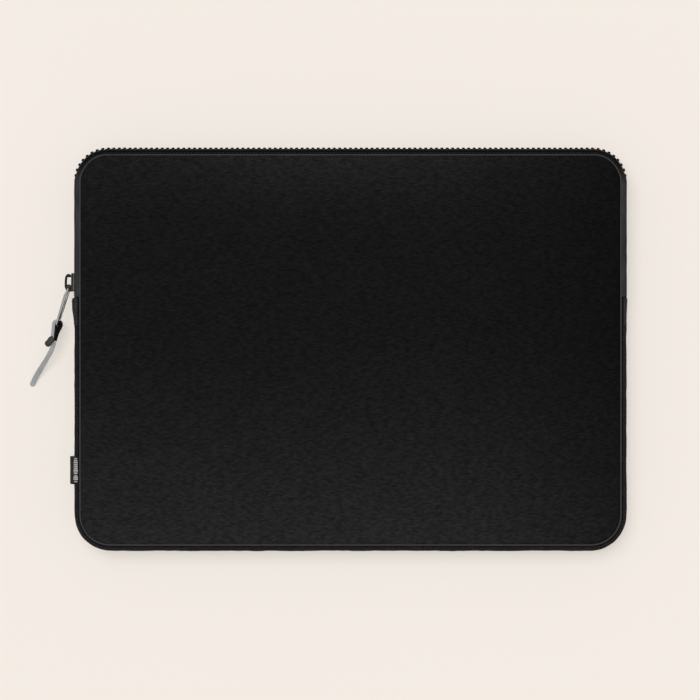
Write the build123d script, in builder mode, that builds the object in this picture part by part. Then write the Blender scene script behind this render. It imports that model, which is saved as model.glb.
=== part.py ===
"""Padded laptop sleeve with a zipper round its top edge and both upper sides.

The sleeve lies on its back. The origin is the middle of the back panel's outer face, +X points to
the sleeve's right, +Y to the zipped top edge and +Z up out of the front panel. Millimetres.

Places near the edge are given as (outwards, height): the distance outside the panel seam, and the
height above the surface that the sleeve lies on.
"""

import os
from math import cos, radians, sin, tan

from build123d import *

# Panels: a fabric cover, a foam sheet and a plush lining, twice
PANEL_WIDTH = 342.8
PANEL_HEIGHT = 248.0
TOP_RADIUS = 17.5
BOTTOM_RADIUS = 19.5
THICKNESS = 28.0
COVER_SHEET = 0.6
FOAM_SHEET = 4.0
LINING_SHEET = 1.4
COVER_INSET = 0.55
FOAM_INSET = 1.2

# The line where the front panel folds when it is opened, and the gap between its rigid halves
FOLD_Y = 51.7
FOLD_GAP = 0.3

# Edge strips
PIPING_RADIUS = 0.6
PIPING_OUT = 0.1
BINDING_OUTER = -0.15
BINDING_SHEET = 1.0
GUSSET_BULGE = 3.6
GUSSET_SHEET = 0.9
GUSSET_FOAM_INNER = -0.1
GUSSET_FOAM_EDGE = 0.25
GUSSET_FOAM_LOW = 2.0
GUSSET_LINING_SHEET = 1.1
GUARD_OUTER = -2.3
GUARD_SHEET = 1.6
GUARD_TOP = 18.5
EDGE_LOW = 1.3

# Zipper
ZIP_END_Y = 33.3
CHAIN_OUT = 1.9
TAPE_SHEET = 0.6
TAPE_EDGE = 11.0
TOOTH_PITCH = 3.41
TOOTH_WIDTH = 1.9
TOOTH_THICKNESS = 3.1
TOOTH_FOOT = 9.8
TOOTH_TIP = 12.8
TOOTH_BEVEL = 0.65
LOWEST_TOOTH_Y = 38.0
STOP_LOW_Y = 34.2
STOP_HIGH_Y = 36.6

# Zipper end tabs, folded fabric over both ends of the zipper, and the label in the side seam
TAB_LOW_Y = 15.5
TAB_HALF_WIDTH = 9.0
TAB_LEFT_SHEET = 2.3
TAB_LEFT_FULL_Y = 28.0
TAB_RIGHT_SHEET = 0.9
TAB_RIGHT_FULL_Y = 31.5
LABEL_LOW_Y = -85.2
LABEL_HIGH_Y = -67.5

# Slider on the left side
SLIDER_LOW_Y = 37.1
SLIDER_LENGTH = 11.4
SLIDER_WIDTH = 12.0
SLIDER_TAIL_WIDTH = 9.8
SLIDER_OUTER_X = -177.1
SLIDER_INNER_X = -171.1
PLATE_SHEET = 1.5
FLANGE = 0.5
FLANGE_WIDTH = 0.5
SLIDER_ROUNDING = 1.0
POST_WIDTH = 2.0
POST_LENGTH = 2.6
POST_FROM_LEAD = 0.3
BAIL_BAR = 1.3
BAIL_WIDTH = 2.2
BAIL_OUTER_X = -181.0
BAIL_TIP_X = -178.4
BAIL_BEND = 1.2

# Puller, hung in the bail
PULLER_PIVOT = (-178.5, 39.6)
PULLER_LENGTH = 24.9
PULLER_SHEET = 1.3
PULLER_LEAN = 16.8
PULLER_TOP_HALF = 2.7
PULLER_LOW_HALF = 3.2
WINDOW_LENGTH = 5.85
WINDOW_WIDTH = 3.0
EYE_LENGTH = 3.3
EYE_WIDTH = 4.4
PULLER_ROUNDING = 1.0
WINDOW_ROUNDING = 0.4

# Strap, looped through the puller's eye
STRAP_LEAN = 12.4
STRAP_WIDTH = 3.5
STRAP_SHEET = 1.3
LOOP_RADIUS = 2.6
LOOP_LENGTH = 10.0
LOOP_TIP_RADIUS = 1.4
LOOP_SLIT_RADIUS = 0.3
LOOP_SLIT_LENGTH = 8.4
LOOP_CUT = 10.9
HEAD_CENTRE = (-190.9, 5.2)
HEAD_LENGTH = 6.7
HEAD_WIDTH = 4.3
HEAD_TURN = 49.5
TAIL_DIAMETER = 2.4
TAIL_ROUTE = [
    (-188.04, 5.11, 14.0),
    (-189.0, 0.75, 14.0),
    (-191.6, -4.4, 12.0),
    (-194.8, -9.5, 8.6),
    (-198.1, -14.4, 4.9),
    (-200.9, -19.1, 2.1),
    (-203.2, -23.4, 1.3),
]

# Worked out from the above
HALF_WIDTH = PANEL_WIDTH / 2
HALF_HEIGHT = PANEL_HEIGHT / 2
MIDDLE = THICKNESS / 2
FLAP_START = FOLD_Y + FOLD_GAP / 2
LOWER_END = FOLD_Y - FOLD_GAP / 2
FOAM_TOP = COVER_SHEET + FOAM_SHEET
LINING_TOP = FOAM_TOP + LINING_SHEET
SLIDER_HIGH_Y = SLIDER_LOW_Y + SLIDER_LENGTH
LEFT_EDGE = Plane(origin=(-HALF_WIDTH, 0, 0), x_dir=(-1, 0, 0), z_dir=(0, 1, 0))


def panel_outline(height, inset):
    """The panel's rounded outline at this height, drawn in from the seam by `inset`."""
    with BuildSketch(Plane.XY.offset(height)) as outline:
        Rectangle(PANEL_WIDTH - 2 * inset, PANEL_HEIGHT - 2 * inset)
        fillet(outline.vertices().group_by(Axis.Y)[-1], TOP_RADIUS - inset)
        fillet(outline.vertices().group_by(Axis.Y)[0], BOTTOM_RADIUS - inset)
    return outline.sketch


def cross_plane(y):
    """The upright plane across the sleeve at this y. Its top side faces the bottom edge."""
    return Plane.XZ.offset(-y)


def seam_route(start_y, upper):
    """The seam from the left side to the right side, round the top corners or the bottom ones."""
    far_y = HALF_HEIGHT if upper else -HALF_HEIGHT
    with BuildLine() as route:
        FilletPolyline(
            (-HALF_WIDTH, start_y),
            (-HALF_WIDTH, far_y),
            (HALF_WIDTH, far_y),
            (HALF_WIDTH, start_y),
            radius=TOP_RADIUS if upper else BOTTOM_RADIUS,
        )
    return route.wire()


def turned_over(points):
    """The same section on the front panel's side."""
    return [(outwards, THICKNESS - height) for outwards, height in points]


def edge_section(points, y):
    """A straight-sided section across the left edge, at this y."""
    with BuildSketch(LEFT_EDGE.offset(y)) as section:
        with BuildLine():
            Polyline(*points, close=True)
        make_face()
    return section.sketch


def bowed_section(outer, inner, low, high, y):
    """A section between two arcs, each given as its places at the ends and in the middle."""
    with BuildSketch(LEFT_EDGE.offset(y)) as section:
        with BuildLine():
            ThreePointArc((outer[0], low), (outer[1], MIDDLE), (outer[0], high))
            Line((outer[0], high), (inner[0], high))
            ThreePointArc((inner[0], high), (inner[1], MIDDLE), (inner[0], low))
            Line((inner[0], low), (outer[0], low))
        make_face()
    return section.sketch


def piping_section(height, y):
    """The round section of the piping that closes a seam."""
    with BuildSketch(LEFT_EDGE.offset(y)) as section:
        with Locations((PIPING_OUT, height)):
            Circle(PIPING_RADIUS)
    return section.sketch


def chain_plane(distance):
    """The plane of the near side of a tooth, at this distance from the middle of the top edge.

    The distance is positive to the right. The plane stands on the seam line, with its x axis out
    of the sleeve and its y axis up.
    """
    side = 1 if distance > 0 else -1
    along = abs(distance)
    flat = HALF_WIDTH - TOP_RADIUS
    bend = TOP_RADIUS + CHAIN_OUT
    angle = max(0, min(radians(90), (along - flat) / bend))
    down = max(0, along - flat - radians(90) * bend)
    x = side * (min(along, flat) + TOP_RADIUS * sin(angle))
    y = HALF_HEIGHT - TOP_RADIUS + TOP_RADIUS * cos(angle) - down
    outwards = (side * sin(angle), cos(angle), 0)
    across = (outwards[1], -outwards[0], 0)
    return Plane(origin=(x, y, 0), x_dir=outwards, z_dir=across).offset(-TOOTH_WIDTH / 2)


def chain_row(shift):
    """Planes of all the teeth in a row, `shift` of a pitch away from the middle of the top."""
    count = round((HALF_WIDTH + HALF_HEIGHT) / TOOTH_PITCH)
    row = [chain_plane((step + shift) * TOOTH_PITCH) for step in range(-count, count + 1)]
    return [plane for plane in row if plane.origin.Y > LOWEST_TOOTH_Y]


def clamp_points():
    """Section of a tooth or stop of the back row: two legs on the tape's edge and a head."""
    inner = CHAIN_OUT - TOOTH_THICKNESS / 2
    outer = CHAIN_OUT + TOOTH_THICKNESS / 2
    slot_low = CHAIN_OUT - TAPE_SHEET / 2 - 0.02
    slot_high = CHAIN_OUT + TAPE_SHEET / 2 + 0.02
    return [
        (slot_low, TOOTH_FOOT),
        (inner, TOOTH_FOOT),
        (inner, TOOTH_TIP - TOOTH_BEVEL),
        (inner + TOOTH_BEVEL, TOOTH_TIP),
        (outer - TOOTH_BEVEL, TOOTH_TIP),
        (outer, TOOTH_TIP - TOOTH_BEVEL),
        (outer, TOOTH_FOOT),
        (slot_high, TOOTH_FOOT),
        (slot_high, TAPE_EDGE + 0.02),
        (slot_low, TAPE_EDGE + 0.02),
    ]


BACK_TAPE = [
    (0.0, EDGE_LOW),
    (0.8, EDGE_LOW),
    (CHAIN_OUT + TAPE_SHEET / 2, 3.2),
    (CHAIN_OUT + TAPE_SHEET / 2, TAPE_EDGE),
    (CHAIN_OUT - TAPE_SHEET / 2, TAPE_EDGE),
    (CHAIN_OUT - TAPE_SHEET / 2, 3.5),
]
BACK_BINDING = [
    (BINDING_OUTER, EDGE_LOW),
    (BINDING_OUTER, LINING_TOP - 0.1),
    (BINDING_OUTER - BINDING_SHEET, LINING_TOP - 0.1),
    (BINDING_OUTER - BINDING_SHEET, EDGE_LOW),
]
GUARD = [
    (GUARD_OUTER, LINING_TOP),
    (GUARD_OUTER, GUARD_TOP),
    (GUARD_OUTER - GUARD_SHEET, GUARD_TOP),
    (GUARD_OUTER - GUARD_SHEET, LINING_TOP),
]

os.makedirs("parts", exist_ok=True)

# ---------------------------------------------------------------- back panel

with BuildPart() as back_cover:
    extrude(to_extrude=panel_outline(0, COVER_INSET), amount=COVER_SHEET)
back_cover.part.label = "back_cover"
export_step(back_cover.part, "parts/back_cover.step")

with BuildPart() as back_foam:
    extrude(to_extrude=panel_outline(COVER_SHEET, FOAM_INSET), amount=FOAM_SHEET)
back_foam.part.label = "back_foam"
export_step(back_foam.part, "parts/back_foam.step")

with BuildPart() as back_lining:
    extrude(to_extrude=panel_outline(FOAM_TOP, FOAM_INSET), amount=LINING_SHEET)
back_lining.part.label = "back_lining"
export_step(back_lining.part, "parts/back_lining.step")

# ---------------------------------------------------------------- front panel, below the fold

with BuildPart() as front_cover_lower:
    extrude(to_extrude=panel_outline(THICKNESS - COVER_SHEET, COVER_INSET), amount=COVER_SHEET)
    split(bisect_by=cross_plane(LOWER_END), keep=Keep.TOP)
front_cover_lower.part.label = "front_cover_lower"
export_step(front_cover_lower.part, "parts/front_cover_lower.step")

with BuildPart() as front_foam_lower:
    extrude(to_extrude=panel_outline(THICKNESS - FOAM_TOP, FOAM_INSET), amount=FOAM_SHEET)
    split(bisect_by=cross_plane(LOWER_END), keep=Keep.TOP)
front_foam_lower.part.label = "front_foam_lower"
export_step(front_foam_lower.part, "parts/front_foam_lower.step")

with BuildPart() as front_lining_lower:
    extrude(to_extrude=panel_outline(THICKNESS - LINING_TOP, FOAM_INSET), amount=LINING_SHEET)
    split(bisect_by=cross_plane(LOWER_END), keep=Keep.TOP)
front_lining_lower.part.label = "front_lining_lower"
export_step(front_lining_lower.part, "parts/front_lining_lower.step")

# ---------------------------------------------------------------- front panel, above the fold

with BuildPart() as front_cover_flap:
    extrude(to_extrude=panel_outline(THICKNESS - COVER_SHEET, COVER_INSET), amount=COVER_SHEET)
    split(bisect_by=cross_plane(FLAP_START), keep=Keep.BOTTOM)
front_cover_flap.part.label = "front_cover_flap"
export_step(front_cover_flap.part, "parts/front_cover_flap.step")

with BuildPart() as front_foam_flap:
    extrude(to_extrude=panel_outline(THICKNESS - FOAM_TOP, FOAM_INSET), amount=FOAM_SHEET)
    split(bisect_by=cross_plane(FLAP_START), keep=Keep.BOTTOM)
front_foam_flap.part.label = "front_foam_flap"
export_step(front_foam_flap.part, "parts/front_foam_flap.step")

with BuildPart() as front_lining_flap:
    extrude(to_extrude=panel_outline(THICKNESS - LINING_TOP, FOAM_INSET), amount=LINING_SHEET)
    split(bisect_by=cross_plane(FLAP_START), keep=Keep.BOTTOM)
front_lining_flap.part.label = "front_lining_flap"
export_step(front_lining_flap.part, "parts/front_lining_flap.step")

# ---------------------------------------------------------------- piping and bindings

with BuildPart() as back_piping:
    sweep(sections=piping_section(PIPING_RADIUS, FOLD_Y), path=seam_route(FOLD_Y, upper=True))
    sweep(sections=piping_section(PIPING_RADIUS, FOLD_Y), path=seam_route(FOLD_Y, upper=False))
back_piping.part.label = "back_piping"
export_step(back_piping.part, "parts/back_piping.step")

with BuildPart() as front_piping_lower:
    sweep(
        sections=piping_section(THICKNESS - PIPING_RADIUS, LOWER_END),
        path=seam_route(LOWER_END, upper=False),
    )
front_piping_lower.part.label = "front_piping_lower"
export_step(front_piping_lower.part, "parts/front_piping_lower.step")

with BuildPart() as front_piping_flap:
    sweep(
        sections=piping_section(THICKNESS - PIPING_RADIUS, FLAP_START),
        path=seam_route(FLAP_START, upper=True),
    )
front_piping_flap.part.label = "front_piping_flap"
export_step(front_piping_flap.part, "parts/front_piping_flap.step")

with BuildPart() as back_binding:
    sweep(sections=edge_section(BACK_BINDING, FOLD_Y), path=seam_route(FOLD_Y, upper=True))
    sweep(sections=edge_section(BACK_BINDING, FOLD_Y), path=seam_route(FOLD_Y, upper=False))
back_binding.part.label = "back_binding"
export_step(back_binding.part, "parts/back_binding.step")

with BuildPart() as front_binding_lower:
    sweep(
        sections=edge_section(turned_over(BACK_BINDING), LOWER_END),
        path=seam_route(LOWER_END, upper=False),
    )
front_binding_lower.part.label = "front_binding_lower"
export_step(front_binding_lower.part, "parts/front_binding_lower.step")

with BuildPart() as front_binding_flap:
    sweep(
        sections=edge_section(turned_over(BACK_BINDING), FLAP_START),
        path=seam_route(FLAP_START, upper=True),
    )
front_binding_flap.part.label = "front_binding_flap"
export_step(front_binding_flap.part, "parts/front_binding_flap.step")

# ---------------------------------------------------------------- gusset round the lower edge

GUSSET_OUTER = (0.75, GUSSET_BULGE)
GUSSET_INNER = (0.0, GUSSET_BULGE - GUSSET_SHEET)

with BuildPart() as gusset:
    sweep(
        sections=bowed_section(GUSSET_OUTER, GUSSET_INNER, EDGE_LOW, THICKNESS - EDGE_LOW, ZIP_END_Y),
        path=seam_route(ZIP_END_Y, upper=False),
    )
gusset.part.label = "gusset"
export_step(gusset.part, "parts/gusset.step")

with BuildPart() as gusset_foam:
    with BuildSketch(LEFT_EDGE.offset(ZIP_END_Y)) as foam_section:
        with BuildLine():
            ThreePointArc(
                (GUSSET_FOAM_EDGE, GUSSET_FOAM_LOW),
                (GUSSET_INNER[1] - 0.05, MIDDLE),
                (GUSSET_FOAM_EDGE, THICKNESS - GUSSET_FOAM_LOW),
            )
            Polyline(
                (GUSSET_FOAM_EDGE, THICKNESS - GUSSET_FOAM_LOW),
                (GUSSET_FOAM_INNER, THICKNESS - GUSSET_FOAM_LOW),
                (GUSSET_FOAM_INNER, GUSSET_FOAM_LOW),
                (GUSSET_FOAM_EDGE, GUSSET_FOAM_LOW),
            )
        make_face()
    sweep(sections=foam_section.sketch, path=seam_route(ZIP_END_Y, upper=False))
gusset_foam.part.label = "gusset_foam"
export_step(gusset_foam.part, "parts/gusset_foam.step")

GUSSET_LINING = [
    (GUSSET_FOAM_INNER - 0.05, LINING_TOP),
    (GUSSET_FOAM_INNER - 0.05, THICKNESS - LINING_TOP),
    (GUSSET_FOAM_INNER - GUSSET_LINING_SHEET, THICKNESS - LINING_TOP),
    (GUSSET_FOAM_INNER - GUSSET_LINING_SHEET, LINING_TOP),
]

with BuildPart() as gusset_lining:
    sweep(
        sections=edge_section(GUSSET_LINING, ZIP_END_Y),
        path=seam_route(ZIP_END_Y, upper=False),
    )
gusset_lining.part.label = "gusset_lining"
export_step(gusset_lining.part, "parts/gusset_lining.step")

# ---------------------------------------------------------------- zipper

with BuildPart() as back_zipper_tape:
    sweep(sections=edge_section(BACK_TAPE, ZIP_END_Y), path=seam_route(ZIP_END_Y, upper=True))
back_zipper_tape.part.label = "back_zipper_tape"
export_step(back_zipper_tape.part, "parts/back_zipper_tape.step")

with BuildPart() as front_zipper_tape:
    sweep(
        sections=edge_section(turned_over(BACK_TAPE), FLAP_START),
        path=seam_route(FLAP_START, upper=True),
    )
front_zipper_tape.part.label = "front_zipper_tape"
export_step(front_zipper_tape.part, "parts/front_zipper_tape.step")

with BuildPart() as front_zipper_tape_ends:
    extrude(
        to_extrude=edge_section(turned_over(BACK_TAPE), ZIP_END_Y),
        amount=LOWER_END - ZIP_END_Y,
    )
    mirror(about=Plane.YZ)
front_zipper_tape_ends.part.label = "front_zipper_tape_ends"
export_step(front_zipper_tape_ends.part, "parts/front_zipper_tape_ends.step")

back_row = chain_row(0)
front_row = chain_row(0.5)

with BuildPart() as back_teeth:
    with BuildSketch(*back_row):
        with BuildLine():
            Polyline(*clamp_points(), close=True)
        make_face()
    extrude(amount=TOOTH_WIDTH, mode=Mode.REPLACE)
back_teeth.part.label = "back_teeth"
export_step(back_teeth.part, "parts/back_teeth.step")

with BuildPart() as front_teeth:
    with BuildSketch(*[plane for plane in front_row if plane.origin.Y > FOLD_Y]):
        with BuildLine():
            Polyline(*turned_over(clamp_points()), close=True)
        make_face()
    extrude(amount=TOOTH_WIDTH, mode=Mode.REPLACE)
front_teeth.part.label = "front_teeth"
export_step(front_teeth.part, "parts/front_teeth.step")

with BuildPart() as front_teeth_ends:
    with BuildSketch(*[plane for plane in front_row if plane.origin.Y < FOLD_Y]):
        with BuildLine():
            Polyline(*turned_over(clamp_points()), close=True)
        make_face()
    extrude(amount=TOOTH_WIDTH, mode=Mode.REPLACE)
front_teeth_ends.part.label = "front_teeth_ends"
export_step(front_teeth_ends.part, "parts/front_teeth_ends.step")

with BuildPart() as zipper_stops:
    extrude(to_extrude=edge_section(clamp_points(), STOP_LOW_Y), amount=STOP_HIGH_Y - STOP_LOW_Y)
    extrude(
        to_extrude=edge_section(turned_over(clamp_points()), STOP_LOW_Y),
        amount=STOP_HIGH_Y - STOP_LOW_Y,
    )
zipper_stops.part.label = "zipper_stops"
export_step(zipper_stops.part, "parts/zipper_stops.step")

with BuildPart() as zipper_retainer:
    with BuildSketch(LEFT_EDGE.offset(STOP_LOW_Y)):
        with Locations((CHAIN_OUT, MIDDLE)):
            RectangleRounded(TOOTH_THICKNESS, 2 * (MIDDLE - TOOTH_FOOT), TOOTH_BEVEL)
        with Locations((CHAIN_OUT, TAPE_EDGE), (CHAIN_OUT, THICKNESS - TAPE_EDGE)):
            Rectangle(TAPE_SHEET + 0.04, 2 * (TAPE_EDGE - TOOTH_FOOT), mode=Mode.SUBTRACT)
    extrude(amount=STOP_HIGH_Y - STOP_LOW_Y)
    mirror(about=Plane.YZ, mode=Mode.REPLACE)
zipper_retainer.part.label = "zipper_retainer"
export_step(zipper_retainer.part, "parts/zipper_retainer.step")

with BuildPart() as zipper_guard:
    sweep(sections=edge_section(GUARD, ZIP_END_Y), path=seam_route(ZIP_END_Y, upper=True))
zipper_guard.part.label = "zipper_guard"
export_step(zipper_guard.part, "parts/zipper_guard.step")

# ---------------------------------------------------------------- zipper end tabs and side label

TAB_INNER = (2.27, GUSSET_BULGE + 0.06)


def end_tab(sheet, full_y):
    """Folded fabric over the zipper's left end. Below `full_y` it thins out to nothing."""
    outer = (TAB_INNER[0] + sheet, TAB_INNER[1] + sheet)
    low_z = MIDDLE - TAB_HALF_WIDTH
    high_z = MIDDLE + TAB_HALF_WIDTH
    thin_x = -(HALF_WIDTH + TAB_INNER[1] + 0.2)
    full_x = -(HALF_WIDTH + outer[1] + 0.1)
    with BuildPart() as tab:
        extrude(
            to_extrude=bowed_section(outer, TAB_INNER, low_z, high_z, TAB_LOW_Y),
            amount=ZIP_END_Y - TAB_LOW_Y,
        )
        with BuildSketch(Plane.XY):
            with BuildLine():
                Polyline(
                    (thin_x, TAB_LOW_Y),
                    (full_x, full_y),
                    (full_x - 2 * sheet, full_y),
                    (full_x - 2 * sheet, TAB_LOW_Y),
                    close=True,
                )
            make_face()
        extrude(amount=THICKNESS, mode=Mode.SUBTRACT)
    return tab.part


with BuildPart() as zipper_end_tab_left:
    add(end_tab(TAB_LEFT_SHEET, TAB_LEFT_FULL_Y))
zipper_end_tab_left.part.label = "zipper_end_tab_left"
export_step(zipper_end_tab_left.part, "parts/zipper_end_tab_left.step")

with BuildPart() as zipper_end_tab_right:
    mirror(end_tab(TAB_RIGHT_SHEET, TAB_RIGHT_FULL_Y), about=Plane.YZ)
zipper_end_tab_right.part.label = "zipper_end_tab_right"
export_step(zipper_end_tab_right.part, "parts/zipper_end_tab_right.step")

SIDE_LABEL = [(0.85, 26.5), (5.75, 20.6), (6.13, 20.92), (1.23, 26.82)]

with BuildPart() as side_label:
    extrude(to_extrude=edge_section(SIDE_LABEL, LABEL_LOW_Y), amount=LABEL_HIGH_Y - LABEL_LOW_Y)
side_label.part.label = "side_label"
export_step(side_label.part, "parts/side_label.step")

# ---------------------------------------------------------------- slider


def slider_outline():
    """The slider's plate seen from the side, wider at its leading end, as (y, z) points."""
    lead = SLIDER_WIDTH / 2
    tail = SLIDER_TAIL_WIDTH / 2
    shoulder_y = SLIDER_LOW_Y + 0.4 * SLIDER_LENGTH
    return [
        (SLIDER_LOW_Y, MIDDLE - lead),
        (shoulder_y, MIDDLE - lead),
        (SLIDER_HIGH_Y, MIDDLE - tail),
        (SLIDER_HIGH_Y, MIDDLE + tail),
        (shoulder_y, MIDDLE + lead),
        (SLIDER_LOW_Y, MIDDLE + lead),
    ]


with BuildPart() as slider_body:
    for plate_x, flange_x in (
        (SLIDER_OUTER_X, SLIDER_OUTER_X + PLATE_SHEET),
        (SLIDER_INNER_X, SLIDER_INNER_X - FLANGE),
    ):
        with BuildSketch(Plane.YZ.offset(plate_x)) as plate:
            with BuildLine():
                Polyline(*slider_outline(), close=True)
            make_face()
            fillet(plate.vertices(), SLIDER_ROUNDING)
        extrude(amount=PLATE_SHEET)
        with BuildSketch(Plane.YZ.offset(flange_x)):
            with BuildLine():
                Polyline(*slider_outline(), close=True)
            make_face()
            with Locations(((SLIDER_LOW_Y + SLIDER_HIGH_Y) / 2, MIDDLE)):
                Rectangle(2 * SLIDER_LENGTH, SLIDER_TAIL_WIDTH - 2 * FLANGE_WIDTH, mode=Mode.SUBTRACT)
        extrude(amount=FLANGE)
    with BuildSketch(Plane.YZ.offset(SLIDER_OUTER_X + PLATE_SHEET)):
        with Locations((SLIDER_LOW_Y + POST_FROM_LEAD + POST_LENGTH / 2, MIDDLE)):
            SlotOverall(POST_LENGTH, POST_WIDTH)
    extrude(amount=SLIDER_INNER_X - SLIDER_OUTER_X - PLATE_SHEET)
slider_body.part.label = "slider_body"
export_step(slider_body.part, "parts/slider_body.step")

with BuildPart() as slider_bail:
    with BuildSketch(Plane.XY.offset(MIDDLE)):
        with BuildLine():
            FilletPolyline(
                (SLIDER_OUTER_X, SLIDER_LOW_Y + BAIL_BAR / 2),
                (BAIL_OUTER_X + BAIL_BAR / 2, SLIDER_LOW_Y + BAIL_BAR / 2),
                (BAIL_OUTER_X + BAIL_BAR / 2, SLIDER_HIGH_Y - BAIL_BAR / 2),
                (BAIL_TIP_X, SLIDER_HIGH_Y - BAIL_BAR / 2),
                radius=BAIL_BEND,
            )
        trace(line_width=BAIL_BAR)
    extrude(amount=BAIL_WIDTH / 2, both=True)
slider_bail.part.label = "slider_bail"
export_step(slider_bail.part, "parts/slider_bail.step")

# ---------------------------------------------------------------- puller

PULLER_ALONG = (-sin(radians(PULLER_LEAN)), -cos(radians(PULLER_LEAN)), 0)
PULLER_ACROSS = (cos(radians(PULLER_LEAN)), -sin(radians(PULLER_LEAN)), 0)
PULLER_PLANE = Plane(origin=(*PULLER_PIVOT, MIDDLE), x_dir=PULLER_ALONG, z_dir=PULLER_ACROSS)
RUNG = PULLER_SHEET / 2

with BuildPart() as puller:
    with BuildSketch(PULLER_PLANE) as tab:
        with BuildLine():
            Polyline(
                (-RUNG, -PULLER_TOP_HALF),
                (PULLER_LENGTH + RUNG, -PULLER_LOW_HALF),
                (PULLER_LENGTH + RUNG, PULLER_LOW_HALF),
                (-RUNG, PULLER_TOP_HALF),
                close=True,
            )
        make_face()
        fillet(tab.vertices(), PULLER_ROUNDING)
        with Locations((RUNG + WINDOW_LENGTH / 2, 0)):
            RectangleRounded(WINDOW_LENGTH, WINDOW_WIDTH, WINDOW_ROUNDING, mode=Mode.SUBTRACT)
        with Locations((PULLER_LENGTH - RUNG - EYE_LENGTH / 2, 0)):
            RectangleRounded(EYE_LENGTH, EYE_WIDTH, WINDOW_ROUNDING, mode=Mode.SUBTRACT)
    extrude(amount=PULLER_SHEET / 2, both=True)
puller.part.label = "puller"
export_step(puller.part, "parts/puller.step")

# ---------------------------------------------------------------- strap

STRAP_PIVOT = (
    PULLER_PIVOT[0] + PULLER_LENGTH * PULLER_ALONG[0],
    PULLER_PIVOT[1] + PULLER_LENGTH * PULLER_ALONG[1],
)
STRAP_ALONG = (-sin(radians(STRAP_LEAN)), -cos(radians(STRAP_LEAN)), 0)
STRAP_PLANE = Plane(origin=(*STRAP_PIVOT, MIDDLE), x_dir=STRAP_ALONG, z_dir=(0, 0, 1))


def teardrop(radius, tip_radius, length):
    """A round end drawn out to a smaller round tip, on the strap's plane."""
    with BuildSketch(STRAP_PLANE) as drop:
        Circle(radius)
        with Locations((length, 0)):
            Circle(tip_radius)
        make_hull()
    return drop.sketch


with BuildPart() as strap_loop:
    extrude(
        to_extrude=teardrop(LOOP_RADIUS + STRAP_SHEET / 2, LOOP_TIP_RADIUS, LOOP_LENGTH),
        amount=STRAP_WIDTH / 2,
        both=True,
    )
    extrude(
        to_extrude=teardrop(LOOP_RADIUS - STRAP_SHEET / 2, LOOP_SLIT_RADIUS, LOOP_SLIT_LENGTH),
        amount=STRAP_WIDTH / 2,
        both=True,
        mode=Mode.SUBTRACT,
    )
    tip_plane = Plane(
        origin=STRAP_PLANE.from_local_coords((LOOP_CUT, 0, 0)),
        z_dir=STRAP_ALONG,
    )
    split(bisect_by=tip_plane, keep=Keep.BOTTOM)
strap_loop.part.label = "strap_loop"
export_step(strap_loop.part, "parts/strap_loop.step")


def tail_radii(route):
    """One bend radius for each corner: 0.45 of the shorter run over the tangent of half the turn."""
    points = [Vector(*point) for point in route]
    runs = [end - start for start, end in zip(points, points[1:])]
    radii = []
    for before, after in zip(runs, runs[1:]):
        half_turn = radians(before.get_angle(after)) / 2
        radii.append(0.45 * min(before.length, after.length) / tan(half_turn))
    return radii


with BuildPart() as strap_tail:
    with BuildLine() as tail_line:
        FilletPolyline(*TAIL_ROUTE, radius=tail_radii(TAIL_ROUTE))
    with BuildSketch(Plane(origin=TAIL_ROUTE[0], z_dir=tail_line.wire() % 0)):
        Circle(TAIL_DIAMETER / 2)
    sweep()
strap_tail.part.label = "strap_tail"
export_step(strap_tail.part, "parts/strap_tail.step")
print("tail length", tail_line.wire().length)
print("tail bend radii", [round(radius, 1) for radius in tail_radii(TAIL_ROUTE)])

with BuildPart() as strap_head:
    with BuildSketch(Plane.XY.offset(MIDDLE)):
        with Locations(Location(HEAD_CENTRE, HEAD_TURN)):
            SlotOverall(HEAD_LENGTH, HEAD_WIDTH)
    extrude(amount=STRAP_WIDTH / 2, both=True)
    add(strap_loop.part, mode=Mode.SUBTRACT)
    add(strap_tail.part, mode=Mode.SUBTRACT)
strap_head.part.label = "strap_head"
export_step(strap_head.part, "parts/strap_head.step")
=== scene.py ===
"""The looks of a padded laptop sleeve: woven cover, zipper, slider, puller, strap and label.

The sleeve lies on its back in the CAD frame, +Y to the zipped edge and +Z up. Lengths are in
metres. Places near the edge are given as (outwards, height): the distance outside the panel seam,
and the height above the surface that the sleeve lies on.
"""

from math import cos, pi, radians, sin

import bmesh
import bpy
import numpy as np
from mathutils import Matrix, Vector, noise


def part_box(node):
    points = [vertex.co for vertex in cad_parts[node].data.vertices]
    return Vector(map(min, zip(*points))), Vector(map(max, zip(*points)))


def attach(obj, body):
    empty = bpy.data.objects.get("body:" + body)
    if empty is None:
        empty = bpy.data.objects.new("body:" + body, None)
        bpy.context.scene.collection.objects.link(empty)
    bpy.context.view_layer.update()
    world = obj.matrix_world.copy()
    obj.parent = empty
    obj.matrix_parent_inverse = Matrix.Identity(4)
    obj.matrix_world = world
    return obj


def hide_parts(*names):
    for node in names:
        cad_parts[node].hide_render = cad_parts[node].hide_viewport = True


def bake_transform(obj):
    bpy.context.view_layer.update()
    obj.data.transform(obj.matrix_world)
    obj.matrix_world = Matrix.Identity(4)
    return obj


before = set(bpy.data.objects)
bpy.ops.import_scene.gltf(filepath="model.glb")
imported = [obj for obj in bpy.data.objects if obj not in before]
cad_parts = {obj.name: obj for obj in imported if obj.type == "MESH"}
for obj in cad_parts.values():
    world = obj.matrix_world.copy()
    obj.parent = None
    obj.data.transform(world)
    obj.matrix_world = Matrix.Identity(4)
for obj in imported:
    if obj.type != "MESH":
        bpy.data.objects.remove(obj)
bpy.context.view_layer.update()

MM = 0.001

# ------------------------------------------------------------------ sizes, from the frame

PIPING_OUT = 0.7 * MM
HALF_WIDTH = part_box("back_piping")[1].x - PIPING_OUT
HALF_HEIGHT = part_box("back_piping")[1].y - PIPING_OUT
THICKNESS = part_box("front_cover_lower")[1].z
MIDDLE = THICKNESS / 2
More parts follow.
